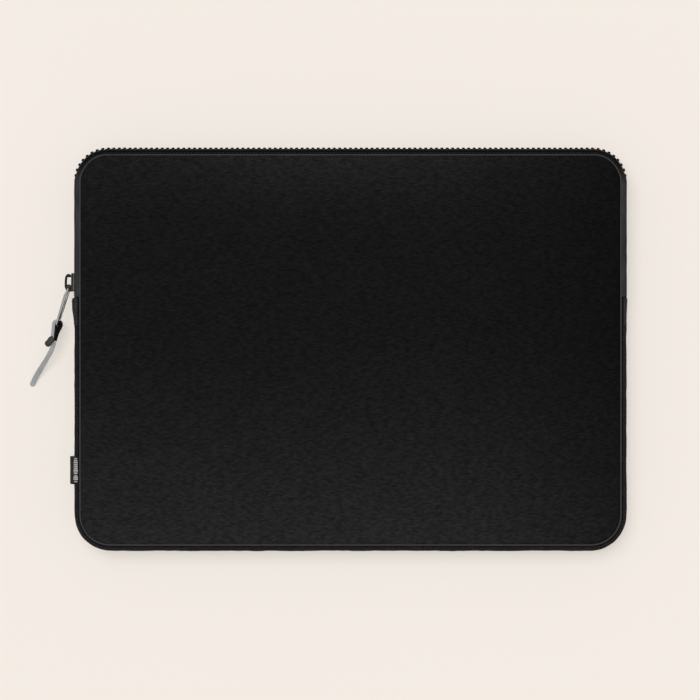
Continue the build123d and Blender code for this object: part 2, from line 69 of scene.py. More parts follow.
# The full and the middle height in mm
HIGH = THICKNESS / MM
MID = 14.0
TOP_RADIUS = 17.5 * MM
BOTTOM_RADIUS = 19.5 * MM
ZIP_END_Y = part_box("back_zipper_tape")[0].y
TOOTH_PITCH = 3.41 * MM
CHAIN_OUT = 1.9 * MM
STITCH_PITCH = 2.2 * MM


# ------------------------------------------------------------------ mesh tools


def new_piece(name, mesh, *materials):
    """An object for a mesh, smooth shaded, in the scene."""
    mesh.polygons.foreach_set("use_smooth", [True] * len(mesh.polygons))
    piece = bpy.data.objects.new(name, mesh)
    for material in materials:
        mesh.materials.append(material)
    bpy.context.scene.collection.objects.link(piece)
    return piece


def signed_volume(points, faces):
    total = 0.0
    for face in faces:
        a = points[face[0]]
        for b, c in zip(face[1:-1], face[2:]):
            total += np.dot(a, np.cross(points[b], points[c]))
    return total


def mesh_from(name, points, faces, face_uvs=None, face_materials=None):
    """A mesh whose faces all point outwards, with its UV map in metres."""
    points = np.asarray(points, float).reshape(-1, 3)
    if signed_volume(points, faces) < 0:
        faces = [face[::-1] for face in faces]
        if face_uvs is not None:
            face_uvs = [uvs[::-1] for uvs in face_uvs]
    mesh = bpy.data.meshes.new(name)
    mesh.from_pydata(points.tolist(), [], faces)
    if face_uvs is not None:
        layer = mesh.uv_layers.new(name="cloth")
        layer.data.foreach_set("uv", np.array([uv for uvs in face_uvs for uv in uvs]).ravel())
    if face_materials is not None:
        mesh.polygons.foreach_set("material_index", face_materials)
    mesh.update()
    return mesh


def distances(points):
    """Each point's distance along the line through them."""
    gaps = np.linalg.norm(np.diff(points, axis=0), axis=1)
    return np.concatenate([[0], np.cumsum(gaps)])


def framed(tangent, across, up, origin):
    """The matrix of a frame with these axes at this origin."""
    place = Matrix.Identity(4)
    for k, column in enumerate((tangent, across, up, origin)):
        place[0][k], place[1][k], place[2][k] = column
    return place


def tube_mesh(name, rings, along, closed=False, paint=None):
    """A mesh through closed rings of equal size. `along` is each ring's distance down the tube.

    `paint` gives the material's number for each place round the ring.
    """
    rings = np.asarray(rings, float)
    count, size = rings.shape[:2]
    round_ring = np.vstack([rings[0], rings[0][:1]])
    across = distances(round_ring)
    faces, uvs = [], []
    for i in range(count if closed else count - 1):
        k = (i + 1) % count
        u0 = along[i]
        u1 = along[i + 1] if i + 1 < len(along) else along[i] + (along[1] - along[0])
        for j in range(size):
            n = (j + 1) % size
            faces.append((i * size + j, i * size + n, k * size + n, k * size + j))
            uvs.append(((u0, across[j]), (u0, across[j + 1]), (u1, across[j + 1]), (u1, across[j])))
    if not closed:
        first = tuple(range(size))[::-1]
        last = tuple(range((count - 1) * size, count * size))
        faces += [first, last]
        uvs += [[(along[0], across[j]) for j in range(size)][::-1]]
        uvs += [[(along[-1], across[j]) for j in range(size)]]
    numbers = None
    if paint is not None:
        numbers = [paint[i % size] for i in range(len(faces) - (0 if closed else 2))]
        numbers += [0] * (len(faces) - len(numbers))
    return mesh_from(name, rings, faces, uvs, numbers)


def instanced(name, template, places):
    """One mesh of many copies of a (points, faces) template, each placed by a 4x4 matrix."""
    points, faces = template
    points = np.hstack([points, np.ones((len(points), 1))])
    all_points = np.vstack([(points @ np.array(place).T)[:, :3] for place in places])
    all_faces = []
    for copy in range(len(places)):
        shift = copy * len(points)
        all_faces += [tuple(corner + shift for corner in face) for face in faces]
    uvs = [[(all_points[c][0], all_points[c][1] + all_points[c][2]) for c in f] for f in all_faces]
    return mesh_from(name, all_points, all_faces, uvs)


def lofted_template(rings):
    """(points, faces) of a closed shape through rings of equal size."""
    rings = np.asarray(rings, float)
    count, size = rings.shape[:2]
    faces = []
    for i in range(count - 1):
        for j in range(size):
            n = (j + 1) % size
            faces.append((i * size + j, i * size + n, (i + 1) * size + n, (i + 1) * size + j))
    faces.append(tuple(range(size))[::-1])
    faces.append(tuple(range((count - 1) * size, count * size)))
    return rings.reshape(-1, 3), faces


def rounded_ring(half_x, half_y, z, power=4, size=16):
    """A ring between a rectangle and an ellipse."""
    angles = (np.arange(size) + 0.5) * 2 * pi / size
    c, s = np.cos(angles), np.sin(angles)
    x = half_x * np.sign(c) * np.abs(c) ** (2 / power)
    y = half_y * np.sign(s) * np.abs(s) ** (2 / power)
    return np.stack([x, y, np.full(size, z)], axis=1)


def wander(x, y, z=0.0, size=0.05, seed=0):
    """Smooth noise between about -1 and 1, with bumps of about `size`."""
    return noise.noise(Vector((x / size + 17.3 * seed, y / size - 9.1 * seed, z / size + 3.7 * seed)))


# ------------------------------------------------------------------ the seam and what follows it


def seam_route(start_y, upper, step=2.0 * MM, end_y=None):
    """Points, outward normals and distances along the seam, left side to right side."""
    radius = TOP_RADIUS if upper else BOTTOM_RADIUS
    up = 1 if upper else -1
    far_y = HALF_HEIGHT - radius
    side = far_y - up * start_y
    other = side if end_y is None else far_y - up * end_y
    bend = radius * pi / 2
    across = 2 * (HALF_WIDTH - radius)
    lengths = [side, bend, across, bend, other]
    points, normals = [], []
    ends = np.concatenate([[0], np.cumsum(lengths)])
    stations = [0.0]
    for begin, end in zip(ends, ends[1:]):
        pieces = max(2, round((end - begin) / step))
        stations += list(np.linspace(begin, end, pieces + 1)[1:])
    for at in stations:
        part = min(int(np.searchsorted(ends, at, side="right")) - 1, 4)
        rest = at - ends[part]
        if part == 0:
            point, angle = (-HALF_WIDTH, up * start_y + rest), pi
        elif part == 1:
            angle = pi - rest / radius
            point = (-HALF_WIDTH + radius + radius * cos(angle), far_y + radius * sin(angle))
        elif part == 2:
            point, angle = (-HALF_WIDTH + radius + rest, HALF_HEIGHT), pi / 2
        elif part == 3:
            angle = pi / 2 - rest / radius
            point = (HALF_WIDTH - radius + radius * cos(angle), far_y + radius * sin(angle))
        else:
            point, angle = (HALF_WIDTH, far_y - rest), 0.0
        points.append((point[0], up * point[1]))
        normals.append((cos(angle), up * sin(angle)))
    return np.array(points), np.array(normals), np.array(stations)


def full_route(step=2.0 * MM):
    """The whole seam as a closed loop, from the left side at y = 0."""
    upper = seam_route(0, True, step)
    lower = seam_route(0, False, step)
    points = np.vstack([upper[0], lower[0][-2:0:-1]])
    normals = np.vstack([upper[1], lower[1][-2:0:-1]])
    return points, normals, distances(points)


def edge_strip(name, route, section, material, closed=False):
    """A strip along the seam. `section` gives the ring of (outwards, height) in mm at an index."""
    points, normals, along = route
    rings = []
    for i in range(len(points)):
        ring = np.asarray(section(i), float) * MM
        xy = points[i] + ring[:, :1] * normals[i]
        rings.append(np.hstack([xy, ring[:, 1:]]))
    return new_piece(name, tube_mesh(name, rings, along, closed), material)


def smooth_line(points, count):
    """A line of `count` points on a smooth curve through the given ones."""
    points = np.asarray(points, float)
    padded = np.vstack([2 * points[0] - points[1], points, 2 * points[-1] - points[-2]])
    spans = len(points) - 1
    line = []
    for t in np.linspace(0, spans, count):
        k = min(int(t), spans - 1)
        f = t - k
        a, b, c, d = padded[k : k + 4]
        line.append(
            0.5 * (2 * b + (c - a) * f + (2 * a - 5 * b + 4 * c - d) * f**2)
            + 0.5 * (3 * b - a - 3 * c + d) * f**3
        )
    return np.array(line)


def line_normals(line):
    slope = np.gradient(line, axis=0)
    slope /= np.linalg.norm(slope, axis=1)[:, None]
    return np.stack([slope[:, 1], -slope[:, 0]], axis=1)


def thick_line(line, sheet):
    """The closed ring round a line in a section, `sheet` thick, with rounded edges."""
    side = line_normals(line) * sheet / 2
    side[0] *= 0.5
    side[-1] *= 0.5
    return np.vstack([line + side, (line - side)[::-1]])


def turned_over(line):
    """The same section in mm at the front panel's side."""
    line = np.array(line, float)
    line[:, 1] = HIGH - line[:, 1]
    return line


def smooth_step(value, low, high):
    t = min(1.0, max(0.0, (value - low) / (high - low)))
    return t * t * (3 - 2 * t)


# ------------------------------------------------------------------ materials


# How pale the cover cloth is everywhere, how much painted light pales it at its lower edge and at its left,
# and how much painted shade darkens it at the right
PALE_BASE = 1.10
PAINTED_LIGHT_LOWER = 2.04
PAINTED_LIGHT_LEFT = 0.08
PAINTED_SHADE_RIGHT = 0.5


class Nodes:
    """A material's nodes, made and linked in a few words."""

    def __init__(self, name):
        self.material = bpy.data.materials.new(name)
        self.material.use_nodes = True
        self.tree = self.material.node_tree
        self.shader = self.tree.nodes["Principled BSDF"]

    def node(self, kind, settings=None, **inputs):
        made = self.tree.nodes.new(kind)
        for key, value in (settings or {}).items():
            setattr(made, key, value)
        for key, value in inputs.items():
            self.feed(made.inputs[int(key[1:]) if key[0] == "i" and key[1:].isdigit() else key], value)
        return made

    def feed(self, socket, value):
        if isinstance(value, bpy.types.NodeSocket):
            self.tree.links.new(value, socket)
        else:
            socket.default_value = value

    def math(self, operation, a, b=0.0):
        return self.node("ShaderNodeMath", {"operation": operation}, i0=a, i1=b).outputs[0]

    def place(self, scale, cloth=True):
        """The cloth's own coordinates, or the object's, in metres, times a scale on each axis."""
        source = self.node("ShaderNodeTexCoord").outputs["UV" if cloth else "Object"]
        return self.node("ShaderNodeMapping", None, Vector=source, Scale=scale).outputs[0]

    def noise(self, vector, scale=1.0, detail=3.0, roughness=0.5):
        made = self.node(
            "ShaderNodeTexNoise", None, Vector=vector, Scale=scale, Detail=detail, Roughness=roughness
        )
        return made.outputs["Fac"]

    def ramp(self, factor, *stops):
        """A colour ramp from (place, colour) stops."""
        made = self.node("ShaderNodeValToRGB", None, Fac=factor)
        elements = made.color_ramp.elements
        while len(elements) < len(stops):
            elements.new(0.5)
        for element, (at, colour) in zip(elements, stops):
            element.position = at
            element.color = (*colour, 1) if len(colour) == 3 else colour
        return made.outputs["Color"]

    def spread(self, factor, low, high, from_low=0.0, from_high=1.0):
        made = self.node(
            "ShaderNodeMapRange",
            None,
            Value=factor,
            **{"From Min": from_low, "From Max": from_high, "To Min": low, "To Max": high},
        )
        return made.outputs[0]

    def mix(self, factor, a, b):
        made = self.node("ShaderNodeMix", {"data_type": "RGBA"}, i0=factor, i6=a, i7=b)
        return made.outputs[2]

    def bump(self, height, distance, strength=1.0, under=None):
        made = self.node("ShaderNodeBump", None, Height=height, Distance=distance, Strength=strength)
        if under is not None:
            self.feed(made.inputs["Normal"], under)
        return made.outputs["Normal"]

    def painted_light_gradient(self):
        """Painted light on the cover cloth: paler most at its lower edge, some at the middle of its top and
        at its left, with painted shade towards its right.
        """
        parts = self.node("ShaderNodeSeparateXYZ", None, Vector=self.place((1, 1, 1)))
        x, y = parts.outputs[0], parts.outputs[1]
        lower = self.math("POWER", self.spread(y, 1.0, 0.0, -0.124, 0.020), 1.5)
        upper = self.math("POWER", self.spread(y, 0.0, 1.0, 0.065, 0.124), 2.0)
        off_middle = self.math("ABSOLUTE", self.math("ADD", x, 0.012))
        upper = self.math("MULTIPLY", upper, self.spread(off_middle, 1.5, 0.5, 0.03, 0.16))
        left = self.spread(x, PAINTED_LIGHT_LEFT, 0.0, -0.172, -0.120)
        total = self.math("ADD", self.math("MULTIPLY", lower, PAINTED_LIGHT_LOWER), upper)
        total = self.math("ADD", self.math("ADD", total, left), PALE_BASE)
        right = self.math("POWER", self.spread(x, 0.0, 1.0, 0.05, 0.172), 1.5)
        kept = self.math("SUBTRACT", 1.0, self.math("MULTIPLY", right, PAINTED_SHADE_RIGHT))
        return self.math("MULTIPLY", total, kept)

    def finish(self, **shader):
        for key, value in shader.items():
            self.feed(self.shader.inputs[key.replace("_", " ")], value)
        return self.material


def grey(level, tint=(1, 1, 1)):
    return tuple(level * t for t in tint)


SLUB_ROWS = 2.5
SLUB_REACH = 8.0
SHADE_ROOM = 9.0


def woven(name, warp, weft, dark, light, roughness=0.8, specular=0.18, slub=0.5, painted_gradient=False):
    """A plain weave with threads `warp` and `weft` apart, with uneven weft threads.

    A cloth given the painted gradient has painted light: it is paler most of all towards the sleeve's lower
    edge, and painted shade darkens its right.
    """
    m = Nodes(name)
    place = m.place((1 / warp, 1 / weft, 1))
    parts = m.node("ShaderNodeSeparateXYZ", None, Vector=place)
    across, down = parts.outputs[0], parts.outputs[1]
    column = m.math("FLOOR", across)
    row = m.math("FLOOR", down)
    over = m.math("MODULO", m.math("ABSOLUTE", m.math("ADD", column, row)), 2.0)
    u = m.math("SUBTRACT", m.math("FRACT", across), 0.5)
    v = m.math("SUBTRACT", m.math("FRACT", down), 0.5)
    along_u = m.math("SUBTRACT", 1.0, m.math("MULTIPLY", m.math("MULTIPLY", v, v), 3.6))
    along_v = m.math("SUBTRACT", 1.0, m.math("MULTIPLY", m.math("MULTIPLY", u, u), 3.6))
    dip_u = m.math("SUBTRACT", 1.0, m.math("MULTIPLY", m.math("MULTIPLY", u, u), 2.4))
    dip_v = m.math("SUBTRACT", 1.0, m.math("MULTIPLY", m.math("MULTIPLY", v, v), 2.4))
    weft_thread = m.math("MULTIPLY", along_u, dip_u)
    warp_thread = m.math("MULTIPLY", along_v, dip_v)
    height = m.math(
        "ADD",
        m.math("MULTIPLY", over, weft_thread),
        m.math("MULTIPLY", m.math("SUBTRACT", 1.0, over), m.math("MULTIPLY", warp_thread, 0.72)),
    )
    slub_row = m.math("FLOOR", m.math("DIVIDE", down, SLUB_ROWS))
    shift = m.node("ShaderNodeTexWhiteNoise", {"noise_dimensions": "1D"}, W=slub_row).outputs["Value"]
    reach = m.math("ADD", m.math("DIVIDE", across, SLUB_REACH), m.math("MULTIPLY", shift, 7.0))
    slubs = m.node(
        "ShaderNodeTexNoise",
        {"noise_dimensions": "2D"},
        Vector=m.node("ShaderNodeCombineXYZ", None, X=reach, Y=m.math("MULTIPLY", slub_row, 3.7)).outputs[0],
        Scale=1.0,
        Detail=1.0,
    ).outputs["Fac"]
    streaks = m.noise(m.place((210, 1300, 1)), detail=2.0, roughness=0.55)
    broad = m.noise(m.place((26, 34, 1)), detail=4.0, roughness=0.55)
    uneven = m.math("ADD", m.math("MULTIPLY", slubs, 0.62), m.math("MULTIPLY", streaks, 0.38))
    shade = m.spread(uneven, 1 - slub, 1 + slub, 0.34, 0.66)
    shade = m.math("MULTIPLY", shade, m.spread(broad, 0.94, 1.06, 0.3, 0.7))
    # Painted light and shade: the cover is made paler towards its lower edge, its top middle and its left,
    # and darker towards its right
    if painted_gradient:
        shade = m.math("MULTIPLY", shade, m.painted_light_gradient())
    shade = m.math("MULTIPLY", shade, m.spread(height, 0.55, 1.12))
    brightest = [d + (l - d) * SHADE_ROOM / 2 for d, l in zip(dark, light)]
    colour = m.mix(m.math("DIVIDE", shade, SHADE_ROOM), (*dark, 1), (*brightest, 1))
    normal = m.bump(height, 0.00009, 0.9)
    normal = m.bump(uneven, 0.00016, 0.7, normal)
    m.finish(
        Base_Color=colour,
        Roughness=m.spread(uneven, roughness + 0.08, roughness - 0.08, 0.3, 0.7),
        Normal=normal,
        Specular_IOR_Level=specular,
    )
    return m.material


def ribbed(
    name, rib, dark, light, slant=0.6, roughness=0.75, specular=0.25, contrast=0.3, painted_shade_middle=None
):
    """Woven tape: a fine herringbone of slanting ribs, with a change of slant at each band.

    The middle-stretch argument gives the distance along the tape of a middle stretch darkened nearly to black
    as painted shade, and half that stretch's length.
    """
    m = Nodes(name)
    parts = m.node("ShaderNodeSeparateXYZ", None, Vector=m.place((1, 1, 1)))
    along, across = parts.outputs[0], parts.outputs[1]
    zigzag = m.math("PINGPONG", across, 0.0016)
    phase = m.math("MULTIPLY", m.math("ADD", along, m.math("MULTIPLY", zigzag, slant)), 2 * pi / rib)
    ribs = m.math("SINE", phase)
    cross = m.math("SINE", m.math("MULTIPLY", across, 2 * pi / (rib * 0.8)))
    height = m.math("ADD", m.math("MULTIPLY", ribs, 0.35), m.math("MULTIPLY", cross, 0.15))
    height = m.math("ADD", height, 0.5)
    fuzz = m.noise(m.place((2200, 2200, 1)), detail=2.0)
    broad = m.noise(m.place((45, 60, 1)), detail=3.0)
    shade = m.spread(height, 0.85 - contrast, 0.85 + contrast)
    shade = m.math("MULTIPLY", shade, m.spread(broad, 0.75, 1.25, 0.3, 0.7))
    shade = m.math("MULTIPLY", shade, m.spread(fuzz, 0.8, 1.2, 0.3, 0.7))
    # Painted shade: the middle stretch of the tape, along the top edge, is darkened nearly to black
    if painted_shade_middle:
        off = m.math("ABSOLUTE", m.math("SUBTRACT", along, painted_shade_middle[0]))
        shade = m.math("MULTIPLY", shade, m.spread(off, 0.10, 1.0, painted_shade_middle[1], painted_shade_middle[1] + 0.012))
    colour = m.mix(m.math("MULTIPLY", shade, 0.5), (*dark, 1), (*light, 1))
    normal = m.bump(height, 0.00010, 0.9)
    normal = m.bump(fuzz, 0.00008, 0.6, normal)
    m.finish(Base_Color=colour, Roughness=roughness, Normal=normal, Specular_IOR_Level=specular)
    return m.material


def plush(name, dark, light):
    """Short pile: fine tufts that lie in soft patches."""
    m = Nodes(name)
    place = m.place((1, 1, 1))
    tufts = m.noise(place, 2400, 3.0, 0.7)
    patches = m.noise(place, 70, 3.0)
    shade = m.math("ADD", m.math("MULTIPLY", tufts, 0.6), m.math("MULTIPLY", patches, 0.4))
    colour = m.ramp(shade, (0.32, dark), (0.68, light))
    normal = m.bump(tufts, 0.0005, 0.9)
    m.finish(
        Base_Color=colour,
        Roughness=0.95,
        Normal=normal,
        Specular_IOR_Level=0.1,
        Sheen_Weight=0.5,
        Sheen_Roughness=0.4,
        Sheen_Tint=(0.7, 0.72, 0.76, 1),
    )
    return m.material


def foam(name):
    m = Nodes(name)
    place = m.place((1, 1, 1), cloth=False)
    cells = m.node("ShaderNodeTexVoronoi", None, Vector=place, Scale=1600).outputs["Distance"]
    broad = m.noise(place, 60, 3.0)
    colour = m.mix(m.spread(cells, 0.0, 1.0, 0.0, 0.8), (0.11, 0.11, 0.115, 1), (0.30, 0.30, 0.31, 1))
    colour = m.mix(m.spread(broad, 0.0, 0.3, 0.3, 0.7), colour, (0.2, 0.2, 0.205, 1))
    m.finish(
        Base_Color=colour, Roughness=0.9, Normal=m.bump(cells, 0.0003, 0.8), Specular_IOR_Level=0.2
    )
    return m.material


def moulded(name, dark, light, roughness=0.38, grain=900, specular=0.45):
    """Moulded plastic with a faint uneven gloss and scuffed high spots."""
    m = Nodes(name)
    place = m.place((1, 1, 1), cloth=False)
    fine = m.noise(place, grain, 4.0, 0.6)
    broad = m.noise(place, 120, 3.0)
    both = m.math("ADD", m.math("MULTIPLY", fine, 0.5), m.math("MULTIPLY", broad, 0.5))
    colour = m.ramp(both, (0.35, dark), (0.65, light))
    m.finish(
        Base_Color=colour,
        Roughness=m.spread(both, roughness - 0.08, roughness + 0.16, 0.3, 0.7),
        Normal=m.bump(fine, 0.00005, 0.6),
        Specular_IOR_Level=specular,
    )
    return m.material


def plated(name, dark, bright, wear=(0.55, 0.7), roughness=0.34, metallic=0.9, specular=0.5):
    """Plated metal: dark in its hollows, rubbed bright on its edges, with fine scratches."""
    m = Nodes(name)
    place = m.place((1, 1, 1), cloth=False)
    edges = m.node("ShaderNodeNewGeometry").outputs["Pointiness"]
    scratches = m.noise(m.place((900, 160, 900), cloth=False), detail=5.0, roughness=0.65)
    grain = m.noise(place, 1500, 3.0)
    rubbed = m.math("ADD", m.spread(edges, 0.0, 1.0, 0.49, 0.60), m.math("MULTIPLY", scratches, 0.55))
    colour = m.ramp(rubbed, (wear[0] - 0.25, dark), (wear[0], grey(0.5, dark)), (wear[1] + 0.25, bright))
    m.finish(
        Base_Color=colour,
        Metallic=metallic,
        Roughness=m.spread(scratches, roughness - 0.08, roughness + 0.2, 0.3, 0.7),
        Normal=m.bump(grain, 0.00004, 0.5),
        Specular_IOR_Level=specular,
    )
    return m.material


def leather(name, dark, light, grain=1500, roughness=0.7, nap=0.3, specular=0.3):
    """Leather with fine pebbled grain, pores and rubbed patches."""
    m = Nodes(name)
    place = m.place((1, 1, 1), cloth=False)
    pebbles = m.node("ShaderNodeTexVoronoi", {"feature": "F1"}, Vector=place, Scale=grain)
    pores = m.noise(place, 2600, 3.0, 0.6)
    patches = m.noise(place, 170, 4.0, 0.6)
    both = m.math("ADD", m.math("MULTIPLY", pores, 0.45), m.math("MULTIPLY", patches, 0.55))
    colour = m.ramp(both, (0.3, dark), (0.7, light))
    normal = m.bump(pebbles.outputs["Distance"], 0.00010, 0.6)
    normal = m.bump(pores, 0.00008, 0.6, normal)
    m.finish(
        Base_Color=colour,
        Roughness=m.spread(both, roughness + 0.12, roughness - 0.1, 0.3, 0.7),
        Normal=normal,
        Specular_IOR_Level=specular,
        Sheen_Weight=nap,
        Sheen_Roughness=0.5,
    )
    return m.material


def thread(name, dark, light):
    """Twisted sewing thread."""
    m = Nodes(name)
    twist = m.node(
        "ShaderNodeTexWave",
        {"bands_direction": "DIAGONAL"},
        Vector=m.place((1, 1, 1), cloth=False),
        Scale=1400,
        Distortion=1.0,
    ).outputs["Fac"]
    colour = m.ramp(twist, (0.2, dark), (0.8, light))
    m.finish(
        Base_Color=colour, Roughness=0.6, Normal=m.bump(twist, 0.00006, 0.8), Specular_IOR_Level=0.3
    )
    return m.material


COVER_CLOTH = woven(
    "cover_cloth",
    0.00048,
    0.00044,
    grey(0.0006),
    grey(0.0118, (1, 1, 1.02)),
    specular=0.05,
    slub=0.36,
    painted_gradient=True,
)
GUSSET_CLOTH = woven(
    "gusset_cloth", 0.00050, 0.00050, grey(0.0015), grey(0.0135, (1, 0.98, 1.04)), specular=0.05, slub=0.5
)
TAB_CLOTH = woven(
    "tab_cloth", 0.00050, 0.00050, grey(0.0080), grey(0.0560, (1, 1, 0.96)), specular=0.08, slub=0.5
)
PIPING_CLOTH = ribbed("piping_cord", 0.0007, grey(0.028), grey(0.085, (1, 1, 1.03)), slant=2.0, specular=0.10)
BINDING_CLOTH = ribbed("binding_tape", 0.0009, grey(0.012), grey(0.034))
# The zipper tape carries painted shade: nearly black along the sleeve's top edge
TAPE_CLOTH = ribbed(
    "zipper_tape_cloth",
    0.0013,
    grey(0.001),
    grey(0.072, (1, 1, 1.02)),
    slant=1.2,
    specular=0.02,
    contrast=0.7,
    painted_shade_middle=(seam_route(ZIP_END_Y, True)[2][-1] / 2, HALF_WIDTH),
)
PLUSH = plush("plush_pile", grey(0.018), grey(0.075, (1, 1, 1.03)))
FOAM = foam("foam_sheet")
TEETH = moulded("moulded_teeth", grey(0.003), grey(0.012), roughness=0.55, specular=0.15)
THREAD = thread("sewing_thread", grey(0.003), grey(0.012))
SLIDER_METAL = plated(
    "slider_plating", grey(0.010), grey(0.055), (0.60, 0.78), roughness=0.5, metallic=0.5, specular=0.3
)
BAIL_METAL = plated(
    "bail_plating", grey(0.004), grey(0.08), (0.66, 0.85), roughness=0.46, metallic=0.5, specular=0.2
)
# The puller's faces are dark as painted shade; its rims take the pale material below as a painted highlight
PULLER_METAL = plated(
    "puller_plating", grey(0.006), grey(0.04), (0.5, 0.75), roughness=0.5, metallic=0.3, specular=0.15
)
PULLER_EDGE_HIGHLIGHT = plated("puller_edge_highlight", grey(0.30), grey(0.46), (0.45, 0.7), roughness=0.45, metallic=0.2)
SUEDE = leather("grey_leather", grey(0.225, (0.98, 1.01, 1.02)), grey(0.375, (0.98, 1.01, 1.02)))
BLACK_LEATHER = leather("black_backing", grey(0.001), grey(0.005), nap=0.0, specular=0.06)
HEAD_LEATHER = leather("head_leather", grey(0.014, (1.05, 1, 0.93)), grey(0.042, (1.08, 1, 0.9)), nap=0.1)

# ------------------------------------------------------------------ camera, light and floor


CAMERA_PLACE = (-0.0003, -0.0003, 2.916)
CAMERA_LENS = 235
WORLD_STRENGTH = 0.206


def place_camera():
    camera = bpy.data.objects.new("camera", bpy.data.cameras.new("camera"))
    bpy.context.scene.collection.objects.link(camera)
    camera.location = CAMERA_PLACE
    camera.data.lens = CAMERA_LENS
    camera.data.sensor_width = 36
    camera.data.clip_end = 20
    bpy.context.scene.camera = camera


def sun_light(name, lean, toward, spread, strength, colour=(1, 1, 1)):
    """Far-off light, `lean` degrees from straight above, from the side that `toward` says."""
    lamp = bpy.data.lights.new(name, "SUN")
    lamp.angle = radians(spread)
    lamp.energy = strength
    lamp.color = colour
    light = bpy.data.objects.new(name, lamp)
    away = Vector((cos(radians(toward)) * sin(radians(lean)), sin(radians(toward)) * sin(radians(lean)), 0))
    away.z = cos(radians(lean))
    light.rotation_euler = away.to_track_quat("Z", "Y").to_euler()
    bpy.context.scene.collection.objects.link(light)
    return light


def make_floor():
    m = Nodes("studio_floor")
    grain = m.noise(m.place((1, 1, 1), cloth=False), 3.0, 2.0)
    m.finish(
        Base_Color=m.ramp(grain, (0.3, (0.800, 0.745, 0.690)), (0.7, (0.806, 0.751, 0.696))),
        Roughness=0.9,
        Specular_IOR_Level=0.1,
    )
    side = 6.0
    corners = [(-side, -side, 0), (side, -side, 0), (side, side, 0), (-side, side, 0)]
    mesh = bpy.data.meshes.new("floor")
    mesh.from_pydata([(x, y, -0.0002) for x, y, z in corners], [], [(0, 1, 2, 3)])
    floor = new_piece("floor", mesh, m.material)


bpy.context.scene.view_settings.view_transform = "Standard"
world = bpy.data.worlds.new("studio")
world.use_nodes = True
world.node_tree.nodes["Background"].inputs["Color"].default_value = (1.0, 0.985, 0.965, 1)
world.node_tree.nodes["Background"].inputs["Strength"].default_value = WORLD_STRENGTH
bpy.context.scene.world = world
place_camera()
make_floor()
overhead = sun_light("overhead", 1.0, 135, 6, 2.11)
sun_light("key", 15.0, 128, 32, 0.825)

# ------------------------------------------------------------------ strap

STRAP_PIVOT = (-185.697, 15.763)
STRAP_LEAN = radians(12.4)
STRAP_TILT = 0.5
STRAP_HALF_WIDTH = 1.75
LOOP_OUTER = 3.25
LOOP_INNER = 0.95
LOOP_LENGTH = 10.0
LOOP_TIP = 0.85
HEAD_PLACE = (-190.9, 5.2)
HEAD_TURN = radians(49.5)
HEAD_HALF_LENGTH = 3.75
HEAD_HALF_WIDTH = 2.2
TAIL_TWIST = radians(-40)
TAIL_END_ROUND = 1.75 * MM
TAIL_ROUTE = [
    (-0.18804, 0.00511, 0.0140),
    (-0.18930, 0.00075, 0.0137),
    (-0.19215, -0.00440, 0.0114),
    (-0.19545, -0.00950, 0.0079),
    (-0.19870, -0.01440, 0.0042),
    (-0.20145, -0.01910, 0.0015),
    (-0.20350, -0.02340, 0.0008),
]


def spline_points(name, route, resolution=14):
    """Points on the smooth curve through a cord's route."""
    curve = bpy.data.curves.new(name, "CURVE")
    curve.dimensions = "3D"
    curve.resolution_u = resolution
    spline = curve.splines.new("NURBS")
    spline.points.add(len(route) - 1)
    for point, place in zip(spline.points, route):
        point.co = (*place, 1)
    spline.order_u = 3
    spline.use_endpoint_u = True
    line = bpy.data.objects.new(name, curve)
    mesh = bpy.data.meshes.new_from_object(line)
    points = np.array([vertex.co[:] for vertex in mesh.vertices])
    bpy.data.objects.remove(line)
    bpy.data.meshes.remove(mesh)
    return points


def strap_ring(half_width, low, high, waist=0.0, across=7, deep=3):
    """A two-layer band's section: (across, through) pairs, the outer face first."""
    corner = 0.16
    wide = np.linspace(-half_width + corner, half_width - corner, across)
    up = [(w, high - waist * (1 - (w / half_width) ** 2)) for w in wide]
    right = [(half_width, high - corner), (half_width, high - 0.45), (half_width, low + corner)]
    down = [(w, low) for w in wide[::-1]]
    left = [(-half_width, low + corner), (-half_width, high - 0.45), (-half_width, high - corner)]
    return up + right + down + left


def make_tail():
    """The strap's free end, a two-layer band along the cord's route, turned at its start."""
    points = spline_points("tail_route", TAIL_ROUTE)
    along = distances(points)
    length = along[-1]

    def place_at(distance):
        return np.array([np.interp(distance, along, points[:, k]) for k in range(3)])

    stations = list(np.linspace(0, length - TAIL_END_ROUND, 44))
    stations += [length - TAIL_END_ROUND * (1 - sin(a)) for a in np.linspace(0.12, pi / 2 - 0.06, 10)]
    rings = []
    for at in stations:
        place = place_at(at)
        ahead = place_at(min(at + 0.5 * MM, length))
        behind = place_at(max(at - 0.5 * MM, 0))
        tangent = (ahead - behind) / np.linalg.norm(ahead - behind)
        level = np.cross(tangent, (0, 0, 1))
        level /= np.linalg.norm(level)
        up = np.cross(level, tangent)
        twist = TAIL_TWIST * (1 - smooth_step(at / length, 0.0, 0.35))
        wide = level * cos(twist) + up * sin(twist)
        through = up * cos(twist) - level * sin(twist)
        rest = at - (length - TAIL_END_ROUND)
        half = 1.48 + 0.22 * smooth_step(at / length, 0.3, 0.8)
        if rest > 0:
            half *= max(0.12, (1 - (rest / TAIL_END_ROUND) ** 2) ** 0.5)
        ring = strap_ring(half, -0.5, 0.5, waist=0.06)
        rings.append([place + (wide * a + through * b) * MM for a, b in ring])
    ring_size = len(rings[0])
    paint = [0] * 9 + [1] * (ring_size - 12) + [0] * 3
    mesh = tube_mesh("strap_tail_soft", rings, stations, paint=paint)
    tail = new_piece("strap_tail_soft", mesh, SUEDE, BLACK_LEATHER)
    return tail, points


